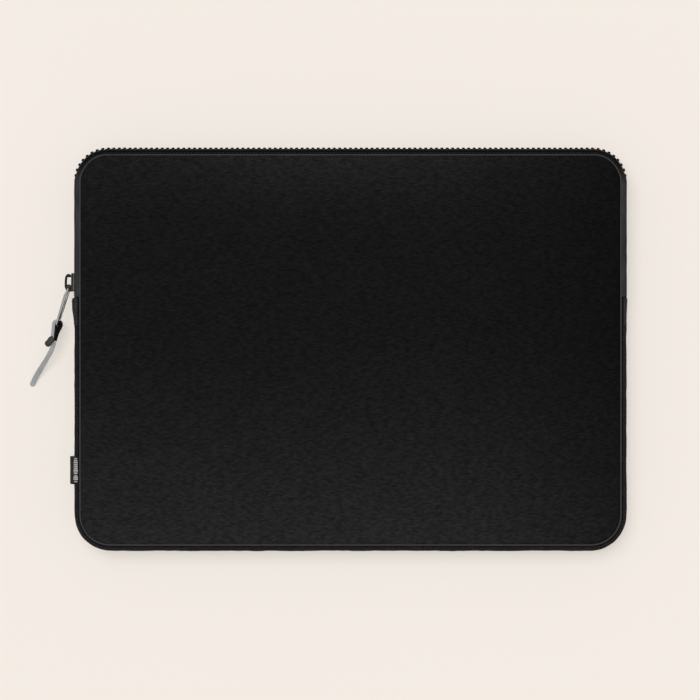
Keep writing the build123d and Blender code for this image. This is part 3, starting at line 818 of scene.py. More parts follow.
def strap_place(along, side, up):
    """A place on the strap's own plane, in mm, as a world place in metres. `up` is from the middle."""
    side += STRAP_TILT * up
    x = STRAP_PIVOT[0] - sin(STRAP_LEAN) * along + cos(STRAP_LEAN) * side
    y = STRAP_PIVOT[1] - cos(STRAP_LEAN) * along - sin(STRAP_LEAN) * side
    return (x * MM, y * MM, MIDDLE + up * MM)


def slack_side(place):
    """The loop's right-hand side lies closer in than its left, most of all towards its tip."""
    along, side = place
    return along, side * (0.78 - 0.34 * smooth_step(along, 0, 7)) if side > 0 else side


def make_loop():
    """The strap bent round the puller's end: grey outside and black inside."""
    middle = (LOOP_OUTER + LOOP_INNER) / 2
    lean = np.arccos((middle - LOOP_TIP) / LOOP_LENGTH)

    def leg(f, side):
        """A place on one of the two straight legs, at a share of the way to the tip."""
        half = middle * (1 - f) + LOOP_TIP * f
        return LOOP_LENGTH * f + middle * cos(lean) * (1 - f), side * half * sin(lean)

    line = [(LOOP_LENGTH + 0.4 + LOOP_TIP * cos(lean), -LOOP_TIP * sin(lean) * 0.8)]
    line += [leg(f, -1) for f in (0.8, 0.6, 0.4, 0.2)]
    for angle in np.linspace(-lean, -2 * pi + lean, 30):
        line.append((middle * cos(angle), middle * sin(angle)))
    line += [leg(f, 1) for f in (0.2, 0.4, 0.6, 0.8)]
    line.append((LOOP_LENGTH + 0.4 + LOOP_TIP * cos(lean), LOOP_TIP * sin(lean) * 0.8))
    line = smooth_line(line, 90)
    normals = line_normals(line)
    if np.dot(normals[45], line[45]) < 0:
        normals = -normals
    half_sheet = (LOOP_OUTER - LOOP_INNER) / 2
    rings = []
    for point, normal in zip(line, normals):
        closed = smooth_step(point[0], 1.2, 3.0)
        low = -half_sheet - closed * max(0.0, abs(point[1]) - half_sheet - 0.04)
        ring = strap_ring(STRAP_HALF_WIDTH, low, half_sheet, waist=0.06)
        rings.append([strap_place(*slack_side(point + normal * b), a) for a, b in ring])
    along = distances(line) * MM
    paint = [0] * 8 + [1] * (len(rings[0]) - 10) + [0] * 2
    mesh = tube_mesh("strap_loop_soft", rings, along, paint=paint)
    return new_piece("strap_loop_soft", mesh, SUEDE, BLACK_LEATHER)


def make_head():
    """The dark keeper that gathers the loop, pinched at its middle and sewn round."""
    rings = []
    for up, scale in (
        (-1.95, 0.62), (-1.85, 0.80), (-1.55, 0.94), (-1.0, 1.0), (0.0, 1.02),
        (1.0, 1.0), (1.55, 0.95), (1.9, 0.83), (2.08, 0.62), (2.15, 0.35),
    ):
        ring = []
        for angle in np.arange(48) * 2 * pi / 48:
            a, b = cos(angle), sin(angle)
            x = HEAD_HALF_LENGTH * np.sign(a) * abs(a) ** 0.72
            y = HEAD_HALF_WIDTH * np.sign(b) * abs(b) ** 0.80
            y *= 1 - 0.14 * np.exp(-((x + 0.3) / 0.9) ** 2)
            wobble = 1 + 0.035 * wander(a * 2, b * 2, up, 1.0, 3)
            x, y = x * scale * wobble, y * scale * wobble
            ring.append(
                (
                    (HEAD_PLACE[0] + x * cos(HEAD_TURN) - y * sin(HEAD_TURN)) * MM,
                    (HEAD_PLACE[1] + x * sin(HEAD_TURN) + y * cos(HEAD_TURN)) * MM,
                    MIDDLE + (up + 0.12 * wander(x, y, 0, 2.0, 5)) * MM,
                )
            )
        rings.append(ring)
    mesh = tube_mesh("strap_head_soft", rings, np.linspace(0, 0.0041, len(rings)))
    return new_piece("strap_head_soft", mesh, HEAD_LEATHER)


tail, tail_points = make_tail()
loop = make_loop()
head = make_head()
for piece, node in ((tail, "strap_tail"), (loop, "strap_loop"), (head, "strap_head")):
    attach(piece, "strap")
    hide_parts(node)

# ------------------------------------------------------------------ panels


def outline(inset, per_corner=12, across=86, upright=60):
    """Points round the panel seam, drawn in by `inset`, from the middle of the bottom left corner."""
    corners = (
        (-1, -1, BOTTOM_RADIUS, 180),
        (1, -1, BOTTOM_RADIUS, 270),
        (1, 1, TOP_RADIUS, 0),
        (-1, 1, TOP_RADIUS, 90),
    )
    arcs = []
    for side, up, radius, start in corners:
        centre = np.array([side * (HALF_WIDTH - radius), up * (HALF_HEIGHT - radius)])
        angles = np.radians(start + np.linspace(0, 90, per_corner + 1))
        arcs.append(centre + (radius - inset) * np.stack([np.cos(angles), np.sin(angles)], axis=1))
    loop = []
    for k, arc in enumerate(arcs):
        loop.append(arc)
        run = across if k % 2 == 0 else upright
        ahead = arcs[(k + 1) % 4][0]
        steps = np.linspace(0, 1, run + 1)[1:-1, None]
        loop.append(arc[-1] + (ahead - arc[-1]) * steps)
    return np.roll(np.vstack(loop), -(per_corner // 2), axis=0)


def depth_in(x, y):
    """How far inside the panel seam each point is."""
    radius = np.where(y > 0, TOP_RADIUS, BOTTOM_RADIUS)
    qx = np.abs(x) - (HALF_WIDTH - radius)
    qy = np.abs(y) - (HALF_HEIGHT - radius)
    corner = np.hypot(np.maximum(qx, 0), np.maximum(qy, 0))
    return radius - corner - np.minimum(np.maximum(qx, qy), 0)


def panel_face(insets, per_corner=12, across=86, upright=60):
    """Points (x, y) and faces of a flat panel: rings inside the seam and a grid inside them."""
    rings = [outline(inset, per_corner, across, upright) for inset in insets]
    size = len(rings[0])
    wide, high = across + per_corner, upright + per_corner
    loop = rings[-1]
    low, right = loop[: wide + 1], loop[wide : wide + high + 1]
    top = loop[wide + high : 2 * wide + high + 1][::-1]
    left = np.vstack([loop[2 * wide + high :], loop[:1]])[::-1]
    index = np.zeros((wide + 1, high + 1), int)
    base = (len(rings) - 1) * size
    inner = []
    for i in range(wide + 1):
        for j in range(high + 1):
            if j == 0:
                index[i, j] = base + i
            elif i == wide:
                index[i, j] = base + wide + j
            elif j == high:
                index[i, j] = base + wide + high + (wide - i)
            elif i == 0:
                index[i, j] = base + 2 * wide + high + (high - j)
            else:
                u, v = i / wide, j / high
                point = (1 - v) * low[i] + v * top[i] + (1 - u) * left[j] + u * right[j]
                point = point - (1 - u) * (1 - v) * low[0] - u * (1 - v) * low[-1]
                point = point - (1 - u) * v * top[0] - u * v * top[-1]
                index[i, j] = len(rings) * size + len(inner)
                inner.append(point)
    points = np.vstack(rings + [np.array(inner)])
    faces = []
    for k in range(len(rings) - 1):
        for j in range(size):
            n = (j + 1) % size
            faces.append((k * size + j, k * size + n, (k + 1) * size + n, (k + 1) * size + j))
    for i in range(wide):
        for j in range(high):
            faces.append((index[i, j], index[i + 1, j], index[i + 1, j + 1], index[i, j + 1]))
    return points, faces, size


FINE_INSETS = [0.6, 0.95, 1.35, 1.8, 2.5, 3.5, 4.9, 7.0]


def slab(name, upper, lower, material, insets=FINE_INSETS, grid=(12, 86, 60)):
    """A closed panel between two surfaces, each a height in mm from x, y and depth in mm."""
    flat, faces, size = panel_face([inset * MM for inset in insets], *grid)
    x, y = flat[:, 0] / MM, flat[:, 1] / MM
    inside = depth_in(flat[:, 0], flat[:, 1]) / MM
    above = np.hstack([flat, upper(x, y, inside)[:, None] * MM])
    below = np.hstack([flat, lower(x, y, inside)[:, None] * MM])
    count = len(flat)
    every = list(faces)
    every += [tuple(corner + count for corner in face[::-1]) for face in faces]
    every += [(j, j + count, (j + 1) % size + count, (j + 1) % size) for j in range(size)]
    points = np.vstack([above, below])
    uvs = [[(points[c][0], points[c][1]) for c in face] for face in every]
    return new_piece(name, mesh_from(name, points, every, uvs), material)


def swells(x, y, size, seed):
    return np.array([wander(a, b, 0.0, size, seed) for a, b in zip(x, y)])


def cover_height(x, y, inside, seed, crown=0.35, lumps=0.2):
    """How far a cover's outer face is above its flat size: it dips to the seam and swells inside."""
    settle = np.clip(inside / 14, 0, 1)
    height = crown * (1 - np.exp(-inside / 20)) - 1.3 * np.exp(-(inside - 0.5) / 1.5)
    height += settle * lumps * (swells(x, y, 52, seed) + 0.4 * swells(x, y, 19, seed + 1))
    return height


def pile_height(x, y, seed):
    return 0.10 * swells(x, y, 6.5, seed)


def front_outer(x, y, d):
    return HIGH + cover_height(x, y, d, 1)


def back_outer(x, y, d):
    return 1.1 * np.exp(-(d - 0.5) / 1.5)


def level(height, pile=0, seed=0):
    """A flat face at this height, with a little pile where asked."""
    if not pile:
        return lambda x, y, d: np.full(len(x), float(height))
    return lambda x, y, d: height + pile * np.maximum(pile_height(x, y, seed), -0.1)


COVER_SHEET = 0.55
COARSE = [1.25, 2.4, 5.0]
ROUGH_GRID = (6, 40, 28)
FLAP_HALVES = {
    "front_cover": ("front_cover_lower", "front_cover_flap"),
    "front_foam": ("front_foam_lower", "front_foam_flap"),
    "front_lining": ("front_lining_lower", "front_lining_flap"),
    "front_piping": ("front_piping_lower", "front_piping_flap"),
    "front_binding": ("front_binding_lower", "front_binding_flap"),
    "front_tape_soft": ("front_zipper_tape", "front_zipper_tape_ends"),
    "front_teeth_soft": ("front_teeth", "front_teeth_ends"),
}

front_cover = slab(
    "front_cover", front_outer, lambda x, y, d: front_outer(x, y, d) - COVER_SHEET, COVER_CLOTH
)
front_foam = slab(
    "front_foam",
    lambda x, y, d: front_outer(x, y, d) - COVER_SHEET - 0.05,
    level(23.4),
    FOAM,
    COARSE,
    ROUGH_GRID,
)
front_lining = slab("front_lining", level(23.35), level(22.0, 1, 11), PLUSH, COARSE, (12, 86, 60))
back_cover = slab(
    "back_cover_soft", lambda x, y, d: back_outer(x, y, d) + COVER_SHEET, back_outer, COVER_CLOTH
)
back_foam = slab(
    "back_foam_soft",
    level(4.55),
    lambda x, y, d: back_outer(x, y, d) + COVER_SHEET + 0.05,
    FOAM,
    COARSE,
    ROUGH_GRID,
)
back_lining = slab("back_lining_soft", level(5.95, 1, 12), level(4.6), PLUSH, COARSE, (12, 86, 60))

# ------------------------------------------------------------------ edges

UPPER = seam_route(ZIP_END_Y, True, 1.5 * MM)
LOWER = seam_route(ZIP_END_Y, False, 1.5 * MM)
AROUND = full_route(1.5 * MM)
GUSSET_RADIUS = 29.72
GUSSET_OUT = 3.6


def gusset_out(height):
    """The gusset's outer face, bowed outwards."""
    return GUSSET_OUT - GUSSET_RADIUS + (GUSSET_RADIUS**2 - (height - HIGH / 2) ** 2) ** 0.5


def round_section(out, height, radius, sides=10):
    angles = np.arange(sides) * 2 * pi / sides
    return np.stack([out + radius * np.cos(angles), height + radius * np.sin(angles)], axis=1)


def gusset_line(i):
    heights = np.linspace(1.25, 26.75, 27)
    along = LOWER[2][i] / MM
    line = []
    for height in heights:
        middle = 1 - ((height - MID) / 12.8) ** 2
        crease = 0.30 * wander(along, height, 0, 11, 21) + 0.16 * wander(along, height * 0.4, 0, 4.5, 22)
        line.append((gusset_out(height) - 0.15 + middle * crease, height))
    line.append((-0.45, 26.85))
    return np.array(line)


def side_share(route, i):
    """1 on the sleeve's sides and 0 along its top edge, with a change over the corners."""
    return 1 - smooth_step(route[0][i][1] / MM, 107, 116)


TAPE_SIDE = [
    (-0.45, 26.6), (0.9, 26.8), (2.2, 26.0), (3.05, 24.2),
    (3.3, 22.2), (2.9, 20.2), (2.1, 18.7), (1.8, 17.3),
]
TAPE_TOP = [
    (-0.45, 26.6), (-0.05, 25.4), (0.15, 23.8), (0.4, 22.3),
    (0.8, 21.0), (1.4, 20.0), (2.0, 19.0), (2.2, 17.5),
]
BACK_TAPE = [
    (0.1, 1.3), (0.9, 1.2), (1.75, 2.2), (2.15, 4.0),
    (2.15, 6.2), (1.9, 8.4), (1.65, 10.0), (1.6, 11.0),
]


def front_tape_line(i):
    share = side_share(UPPER, i)
    along = UPPER[2][i] / MM
    line = smooth_line(share * np.array(TAPE_SIDE) + (1 - share) * np.array(TAPE_TOP), 24)
    swell = np.sin(np.linspace(0, pi, 24))
    line[:, 0] += swell * (0.16 * wander(along, 0, 0, 9, 31) + 0.05 * wander(along, 5, 0, 3.2, 32))
    return line


def front_piping_section(i):
    """The piping's section, drawn in further along the top edge than elsewhere."""
    drawn_in = 0.5 * smooth_step(AROUND[0][i][1] / MM, 107, 116)
    return round_section(-0.4 - drawn_in, 27.0, 0.42 - 0.08 * drawn_in)


def back_tape_line(i):
    return smooth_line(BACK_TAPE, 20)


front_piping = edge_strip("front_piping", AROUND, front_piping_section, PIPING_CLOTH, True)
back_piping = edge_strip(
    "back_piping_soft", AROUND, lambda i: round_section(-0.2, 1.0, 0.42), PIPING_CLOTH, True
)
BINDING_LINE = np.stack([np.full(7, -0.68), np.linspace(1.5, 5.75, 7)], axis=1)
back_binding = edge_strip(
    "back_binding_soft", AROUND, lambda i: thick_line(BINDING_LINE, 0.85), BINDING_CLOTH, True
)
front_binding = edge_strip(
    "front_binding", AROUND, lambda i: thick_line(turned_over(BINDING_LINE), 0.85), BINDING_CLOTH, True
)
gusset = edge_strip("gusset_soft", LOWER, lambda i: thick_line(gusset_line(i), 0.8), GUSSET_CLOTH)
foam_heights = np.linspace(2.2, 25.8, 13)
gusset_foam = edge_strip(
    "gusset_foam_soft",
    LOWER,
    lambda i: [(gusset_out(h) - 1.3, h) for h in foam_heights] + [(-0.1, 25.8), (-0.1, MID), (-0.1, 2.2)],
    FOAM,
)
LINING_LINE = np.stack([np.full(9, -0.68), np.linspace(6.1, 21.9, 9)], axis=1)
gusset_lining = edge_strip("gusset_lining_soft", LOWER, lambda i: thick_line(LINING_LINE, 1.0), PLUSH)
front_tape = edge_strip("front_tape_soft", UPPER, lambda i: thick_line(front_tape_line(i), 0.55), TAPE_CLOTH)
back_tape = edge_strip("back_tape_soft", UPPER, lambda i: thick_line(back_tape_line(i), 0.55), TAPE_CLOTH)


def guard_line(i):
    along = UPPER[2][i] / MM
    heights = np.linspace(6.05, 18.4, 9)
    return np.array([(-3.1 + 0.35 * (h - 6) / 12 * wander(along, h, 0, 16, 41), h) for h in heights])


guard = edge_strip("zipper_guard_soft", UPPER, lambda i: thick_line(guard_line(i), 1.4), PLUSH)

# ------------------------------------------------------------------ teeth, stops and stitches


LOWEST_TOOTH_Y = 40.6 * MM


def chain_frame(distance, out):
    """The place and turn of a tooth, this far from the middle of the top edge."""
    side = 1 if distance > 0 else -1
    along = abs(distance)
    flat = HALF_WIDTH - TOP_RADIUS
    bend = TOP_RADIUS + CHAIN_OUT
    angle = max(0, min(pi / 2, (along - flat) / bend))
    down = max(0, along - flat - pi / 2 * bend)
    normal = Vector((side * sin(angle), cos(angle), 0))
    tangent = Vector((normal.y, -normal.x, 0))
    seam = Vector(
        (
            side * (min(along, flat) + TOP_RADIUS * sin(angle)),
            HALF_HEIGHT - TOP_RADIUS + TOP_RADIUS * cos(angle) - down,
            0,
        )
    )
    return framed(tangent, normal, (0, 0, 1), seam + normal * out)


def chain_row(shift, out, top_lean):
    """Frames of a row of teeth, which leans out further along the top edge."""
    count = round((HALF_WIDTH + HALF_HEIGHT) / TOOTH_PITCH)
    places = [chain_frame((k + shift) * TOOTH_PITCH, out * MM) for k in range(-count, count + 1)]
    for place in places:
        lean = top_lean * MM * smooth_step(place[1][3] / MM, 100, 114)
        place[0][3] += place[0][1] * lean
        place[1][3] += place[1][1] * lean
    return [place for place in places if place[1][3] > LOWEST_TOOTH_Y]


def tooth(half_out, flip):
    """A moulded tooth: a foot on the tape's edge, a waist and a head that meshes with the others."""
    profile = [
        (0.66, 0.76, 9.0), (0.94, 0.91, 9.15), (1.08, 0.98, 9.6), (1.10, 1.0, 10.6), (0.94, 1.0, 11.6),
        (0.62, 0.97, 12.3), (0.60, 0.96, 12.8), (0.74, 0.98, 13.4), (0.79, 0.98, 13.9), (0.74, 0.92, 14.3),
        (0.55, 0.72, 14.5),
    ]
    rings = []
    for half_along, share, height in profile:
        z = HIGH - height if flip else height
        rings.append(rounded_ring(half_along * MM, half_out * share * MM, z * MM, 3.4, 14))
    return lofted_template(rings)


front_teeth = new_piece(
    "front_teeth_soft",
    instanced("front_teeth_soft", tooth(1.75, True), chain_row(0.0, 1.75, 0.69)),
    TEETH,
)
back_teeth = new_piece(
    "back_teeth_soft",
    instanced("back_teeth_soft", tooth(1.55, False), chain_row(0.5, 1.7, 0.34)),
    TEETH,
)


def block(half_along, half_out, low, high, size=20):
    """A moulded block with rounded edges."""
    middle = (low + high) / 2
    half = (high - low) / 2
    rings = []
    profile = ((0.62, -1.0), (0.88, -0.93), (1.0, -0.78), (1.0, 0.0), (1.0, 0.78), (0.88, 0.93), (0.62, 1.0))
    for share, up in profile:
        rings.append(
            rounded_ring(half_along * share * MM, half_out * share * MM, (middle + up * half) * MM, 5, size)
        )
    return lofted_template(rings)


def side_frame(side, y, out):
    """A frame on a side of the sleeve, at this y in mm: x along the edge, y outwards."""
    origin = (side * (HALF_WIDTH + out * MM), y * MM, 0)
    return framed((0, -side, 0), (side, 0, 0), (0, 0, 1), origin)


stop_points, stop_faces = block(1.2, 1.5, 9.5, 13.2)
high_points, high_faces = block(1.2, 1.5, 14.8, 18.5)
both_stops = (
    np.vstack([stop_points, high_points]),
    stop_faces + [tuple(c + len(stop_points) for c in face) for face in high_faces],
)
stops = new_piece(
    "zipper_stops_soft",
    instanced("zipper_stops_soft", both_stops, [side_frame(-1, 35.4, 1.9)]),
    TEETH,
)
retainer = new_piece(
    "zipper_retainer_soft",
    instanced("zipper_retainer_soft", block(1.3, 1.55, 9.4, 18.6), [side_frame(1, 35.4, 1.9)]),
    TEETH,
)


def stitch_template(half_length=0.68, radius=0.27):
    """A short stitch with sunk ends, lying along x."""
    rings = []
    for along, share, up in ((-1.0, 0.35, -0.16), (-0.8, 0.8, -0.05), (-0.35, 1.0, 0.03), (0.35, 1.0, 0.03),
                             (0.8, 0.8, -0.05), (1.0, 0.35, -0.16)):
        ring = [
            (along * half_length * MM, radius * share * cos(a) * MM, (up + radius * share * sin(a)) * MM)
            for a in np.arange(8) * pi / 4
        ]
        rings.append(ring)
    return lofted_template(rings)


def on_face(line, at, lift):
    """A place on a section's outer side, at a share of its length, with the way out of it."""
    k = at * (len(line) - 1)
    point = np.array([np.interp(k, range(len(line)), line[:, j]) for j in range(2)])
    normal = np.array([np.interp(k, range(len(line)), line_normals(line)[:, j]) for j in range(2)])
    normal /= np.linalg.norm(normal)
    if normal[0] < 0:
        normal = -normal
    return point + normal * lift, normal


def stitch_run(route, line_of, at, lift, pitch=STITCH_PITCH):
    """Frames of stitches along a strip, on its outer side."""
    points, normals, along = route
    frames = []
    for distance in np.arange(pitch, along[-1] - pitch / 2, pitch):
        i = int(np.argmin(np.abs(along - distance)))
        (out, height), facing = on_face(line_of(i), at, lift)
        seam = np.array([np.interp(distance, along, points[:, k]) for k in range(2)])
        normal = np.array([np.interp(distance, along, normals[:, k]) for k in range(2)])
        normal /= np.linalg.norm(normal)
        tangent = Vector((-normal[1], normal[0], 0))
        up = Vector((normal[0] * facing[0], normal[1] * facing[0], facing[1])).normalized()
        across = up.cross(tangent)
        origin = (*(seam + normal * out * MM), height * MM)
        frames.append(framed(tangent, across, up, origin))
    return frames


front_runs = stitch_run(UPPER, front_tape_line, 0.27, 0.26) + stitch_run(LOWER, gusset_line, 0.93, 0.38)
back_runs = stitch_run(UPPER, back_tape_line, 0.22, 0.26) + stitch_run(LOWER, gusset_line, 0.07, 0.38)
front_stitches = new_piece(
    "front_stitches", instanced("front_stitches", stitch_template(), front_runs), THREAD
)
back_stitches = new_piece("back_stitches", instanced("back_stitches", stitch_template(), back_runs), THREAD)

# ------------------------------------------------------------------ end tabs and label


TAB_REACH = 11.3
TAB_LOW_Y = 14.0
TAB_END_Y = 31.6


def tab_rise(y, full_y):
    """The share of its full thickness that a tab has at this y."""
    return 0.16 + 0.84 * smooth_step(y, TAB_LOW_Y, full_y) ** 1.2


def tab_edge(height):
    """How a tab thins towards its two long edges."""
    return 1 - 0.8 * abs((height - MID) / TAB_REACH) ** 7


def end_tab(name, side, sheet, full_y):
    """A folded tab of cover cloth sewn over an end of the zipper."""
    heights = np.linspace(MID - TAB_REACH, MID + TAB_REACH, 23)
    stations = list(np.linspace(15.5, TAB_END_Y, 16)) + [32.1, 32.5, 32.75]
    rings = []
    for y in stations:
        rise = tab_rise(y, full_y)
        if y > TAB_END_Y:
            rise *= (1 - ((y - TAB_END_Y) / 1.3) ** 2) ** 0.5
        ring = []
        for height in heights:
            ripple = 0.10 * wander(y, height, side, 6, 51)
            proud = (sheet * rise + ripple) * tab_edge(height)
            ring.append((gusset_out(height) + 0.22 + proud, height))
        ring += [(gusset_out(height) - 0.1, height) for height in heights[::-1]]
        rings.append([(side * (HALF_WIDTH + out * MM), y * MM, height * MM) for out, height in ring])
    along = np.array(stations) * MM
    return new_piece(name, tube_mesh(name, rings, along), TAB_CLOTH)


def tab_stitches(name, side, sheet, full_y):
    frames = []

    def add(y, height, upright):
        out = gusset_out(height) + 0.25 + sheet * tab_rise(y, full_y) * tab_edge(height)
        lean = (height - MID) / GUSSET_RADIUS
        up = Vector((side, 0, lean)).normalized()
        tangent = Vector((0, 0, 1)) if upright else Vector((0, 1, 0))
        across = up.cross(tangent).normalized()
        tangent = across.cross(up).normalized()
        origin = (side * (HALF_WIDTH + out * MM), y * MM, height * MM)
        frames.append(framed(tangent, across, up, origin))

    for height in (4.6, 23.4):
        for y in np.arange(17.0, 30.8, STITCH_PITCH / MM):
            add(y, height, False)
    for y in (16.6, 30.5):
        for height in np.arange(5.4, 23.0, STITCH_PITCH / MM):
            add(y, height, True)
    return new_piece(name, instanced(name, stitch_template(), frames), THREAD)


LEFT_TAB = (-1, 1.6, 27.5)
RIGHT_TAB = (1, 0.5, 31.0)
left_tab = end_tab("end_tab_left", *LEFT_TAB)
right_tab = end_tab("end_tab_right", *RIGHT_TAB)
left_tab_stitches = tab_stitches("end_tab_left_stitches", *LEFT_TAB)
right_tab_stitches = tab_stitches("end_tab_right_stitches", *RIGHT_TAB)


def make_label():
    """A ribbon folded double, caught in the side seam, with plain woven bars on its face."""
    m = Nodes("label_satin")
    parts = m.node("ShaderNodeSeparateXYZ", None, Vector=m.place((1, 1, 1)))
    along, across = parts.outputs[0], parts.outputs[1]
    cell = m.math("DIVIDE", along, 0.00132)
    bar_number = m.math("FLOOR", cell)
    vary = m.node("ShaderNodeTexWhiteNoise", {"noise_dimensions": "1D"}, W=bar_number).outputs["Value"]
    bar = m.math("LESS_THAN", m.math("FRACT", cell), m.spread(vary, 0.5, 0.86))
    far = m.math("GREATER_THAN", across, m.spread(vary, 0.0136, 0.0126))
    near = m.math("LESS_THAN", across, m.spread(vary, 0.0158, 0.0165))
    ends = m.math("MULTIPLY", m.math("GREATER_THAN", along, 0.0010), m.math("LESS_THAN", along, 0.0167))
    marks = m.math("MULTIPLY", m.math("MULTIPLY", bar, ends), m.math("MULTIPLY", far, near))
    ribs = m.math("SINE", m.math("MULTIPLY", across, 2 * pi / 0.00022))
    weave = m.noise(m.place((1400, 4200, 1)), detail=2.0)
    ground = m.ramp(weave, (0.3, grey(0.001)), (0.7, grey(0.007)))
    ink = m.ramp(weave, (0.3, grey(0.20)), (0.7, grey(0.52)))
    height = m.math("ADD", m.math("MULTIPLY", ribs, 0.2), marks)
    satin = m.finish(
        Base_Color=m.mix(marks, ground, ink),
        Roughness=0.45,
        Normal=m.bump(height, 0.00006, 0.7),
        Specular_IOR_Level=0.12,
    )
    outer = [(0.55, 26.45), (1.6, 26.35), (2.9, 25.35), (4.2, 23.8), (5.3, 22.2), (6.1, 20.85)]
    line = smooth_line(outer, 22)
    low_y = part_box("side_label")[0].y / MM
    high_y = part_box("side_label")[1].y / MM
    rings = []
    stations = np.linspace(low_y, high_y, 25)
    for y in stations:
        bowed = line.copy()
        share = np.linspace(0, 1, len(line))
        bowed[:, 0] += share * 0.12 * wander(y, 0, 0, 7, 61)
        bowed[:, 1] += share * 0.25 * wander(y, 3, 0, 9, 62)
        ring = thick_line(bowed, 0.5)
        rings.append([(-HALF_WIDTH - out * MM, y * MM, height * MM) for out, height in ring])
    return new_piece("side_label_soft", tube_mesh("side_label_soft", rings, (stations - low_y) * MM), satin)


label = make_label()

# ------------------------------------------------------------------ slider, bail and puller


def rounded_corners(points, radius, steps=5):
    """A closed outline with its corners rounded off."""
    points = [np.array(p, float) for p in points]
    line = []
    for k, corner in enumerate(points):
        before = points[k - 1] - corner
        after = points[(k + 1) % len(points)] - corner
        start = corner + before / np.linalg.norm(before) * radius
        end = corner + after / np.linalg.norm(after) * radius
        for t in np.linspace(0, 1, steps):
            line.append((1 - t) ** 2 * start + 2 * t * (1 - t) * corner + t * t * end)
    return line


def prism(shape, outline_points, thickness, bevel, steps=3):
    """Add a bevelled prism to a bmesh: 3-D outline points, drawn out by a vector."""
    made = [shape.verts.new(Vector(p) * MM) for p in outline_points]
    face = shape.faces.new(made)
    grown = bmesh.ops.extrude_face_region(shape, geom=[face])["geom"]
    verts = [g for g in grown if isinstance(g, bmesh.types.BMVert)]
    bmesh.ops.translate(shape, vec=Vector(thickness) * MM, verts=verts)
    edges = dict.fromkeys(edge for vert in made + verts for edge in vert.link_edges)
    rim = [edge for edge in edges if edge.verts[0] in verts and edge.verts[1] in verts]
    rim += [edge for edge in edges if edge.verts[0] in made and edge.verts[1] in made]
    bmesh.ops.bevel(
        shape,
        geom=rim,
        offset=bevel * MM,
        segments=steps,
        profile=0.5,
        affect="EDGES",
        clamp_overlap=True,
    )


def mesh_of(name, shape):
    bmesh.ops.recalc_face_normals(shape, faces=shape.faces)
    mesh = bpy.data.meshes.new(name)
    shape.to_mesh(mesh)
    shape.free()
    return mesh


def soft_corners(piece, degrees=38):
    """Keep a hard part's flat faces flat and its sharp turns sharp."""
    mesh = piece.data
    mesh.set_sharp_from_angle(angle=radians(degrees))
    return piece


SLIDER_LOW = 37.1
SLIDER_HIGH = 48.5
SLIDER_HALF = 6.0
SLIDER_TOP_HALF = 4.9
SLIDER_OUTER_X = -177.1
SLIDER_INNER_X = -169.6


def slider_outline():
    """A slider plate's (y, height) corners: wide at its low end and narrower at its top."""
    shoulder = SLIDER_LOW + 4.6
    return [
        (SLIDER_LOW, MID - SLIDER_HALF),
        (shoulder, MID - SLIDER_HALF),
        (SLIDER_HIGH, MID - SLIDER_TOP_HALF),
        (SLIDER_HIGH, MID + SLIDER_TOP_HALF),
        (shoulder, MID + SLIDER_HALF),
        (SLIDER_LOW, MID + SLIDER_HALF),
    ]


def make_slider():
    shape = bmesh.new()
    for x, inward in ((SLIDER_OUTER_X, 1), (SLIDER_INNER_X, -1)):
        plate = rounded_corners(slider_outline(), 1.1)
        prism(shape, [(x, y, z) for y, z in plate], (inward * 1.5, 0, 0), 0.36)
        for up in (1, -1):
            low, high = SLIDER_LOW + 0.6, SLIDER_HIGH - 0.5
            corners = ((low, 5.95), (41.7, 5.95), (high, 4.95), (high, 4.35), (41.7, 5.35), (low, 5.35))
            wall = [(x + inward * 1.2, y, MID + up * off) for y, off in corners]
            prism(shape, wall, (inward * 0.9, 0, 0), 0.15, 2)
    ridge = rounded_corners([(38.6, 12.6), (47.4, 13.0), (47.4, 15.0), (38.6, 15.4)], 0.6)
    prism(shape, [(-177.25, y, z) for y, z in ridge], (0.6, 0, 0), 0.12, 2)
    post = rounded_corners([(37.4, 13.2), (39.6, 13.0), (40.2, 14.0), (39.6, 15.0), (37.4, 14.8)], 0.35)
    prism(shape, [(-176.0, y, z) for y, z in post], (5.3, 0, 0), 0.08, 1)
    return soft_corners(new_piece("slider_body_soft", mesh_of("slider_body_soft", shape), SLIDER_METAL))


def make_bail():
    """The hook that holds the puller: open at its top end, with a thicker tip."""
    route = [
        (-176.7, 38.1), (-178.1, 38.0), (-179.5, 38.1), (-180.35, 38.8), (-180.75, 40.1), (-180.78, 42.4),
        (-180.65, 44.6), (-180.3, 46.2), (-179.65, 47.15), (-178.9, 47.2), (-178.5, 46.6), (-178.45, 45.8),
    ]
    line = smooth_line(route, 70)
    normals = line_normals(line)
    rings = []
    for i, (point, normal) in enumerate(zip(line, normals)):
        t = i / (len(line) - 1)
        half = 0.76 + 0.50 * (1 - smooth_step(t, 0.08, 0.28)) + 0.42 * smooth_step(t, 0.76, 0.92)
        deep = 1.1 - 0.12 * smooth_step(t, 0.8, 1.0)
        if t > 0.95:
            close = (1 - ((t - 0.95) / 0.052) ** 2) ** 0.5
            half, deep = half * close, deep * close
        section = rounded_ring(half, deep, 0, 3.2, 16)
        rings.append([((point[0] + normal[0] * a) * MM, (point[1] + normal[1] * a) * MM, (MID + b) * MM)
                      for a, b, c in section])
    along = distances(line) * MM
    return new_piece("slider_bail_soft", tube_mesh("slider_bail_soft", rings, along), BAIL_METAL)


PULLER_PIVOT = (-178.5, 39.6)
PULLER_LEAN = radians(16.8)
PULLER_TILT = radians(-11)
PULLER_LENGTH = 24.9
KNUCKLE = (-178.9, 40.0)
KNUCKLE_RADIUS = 1.4


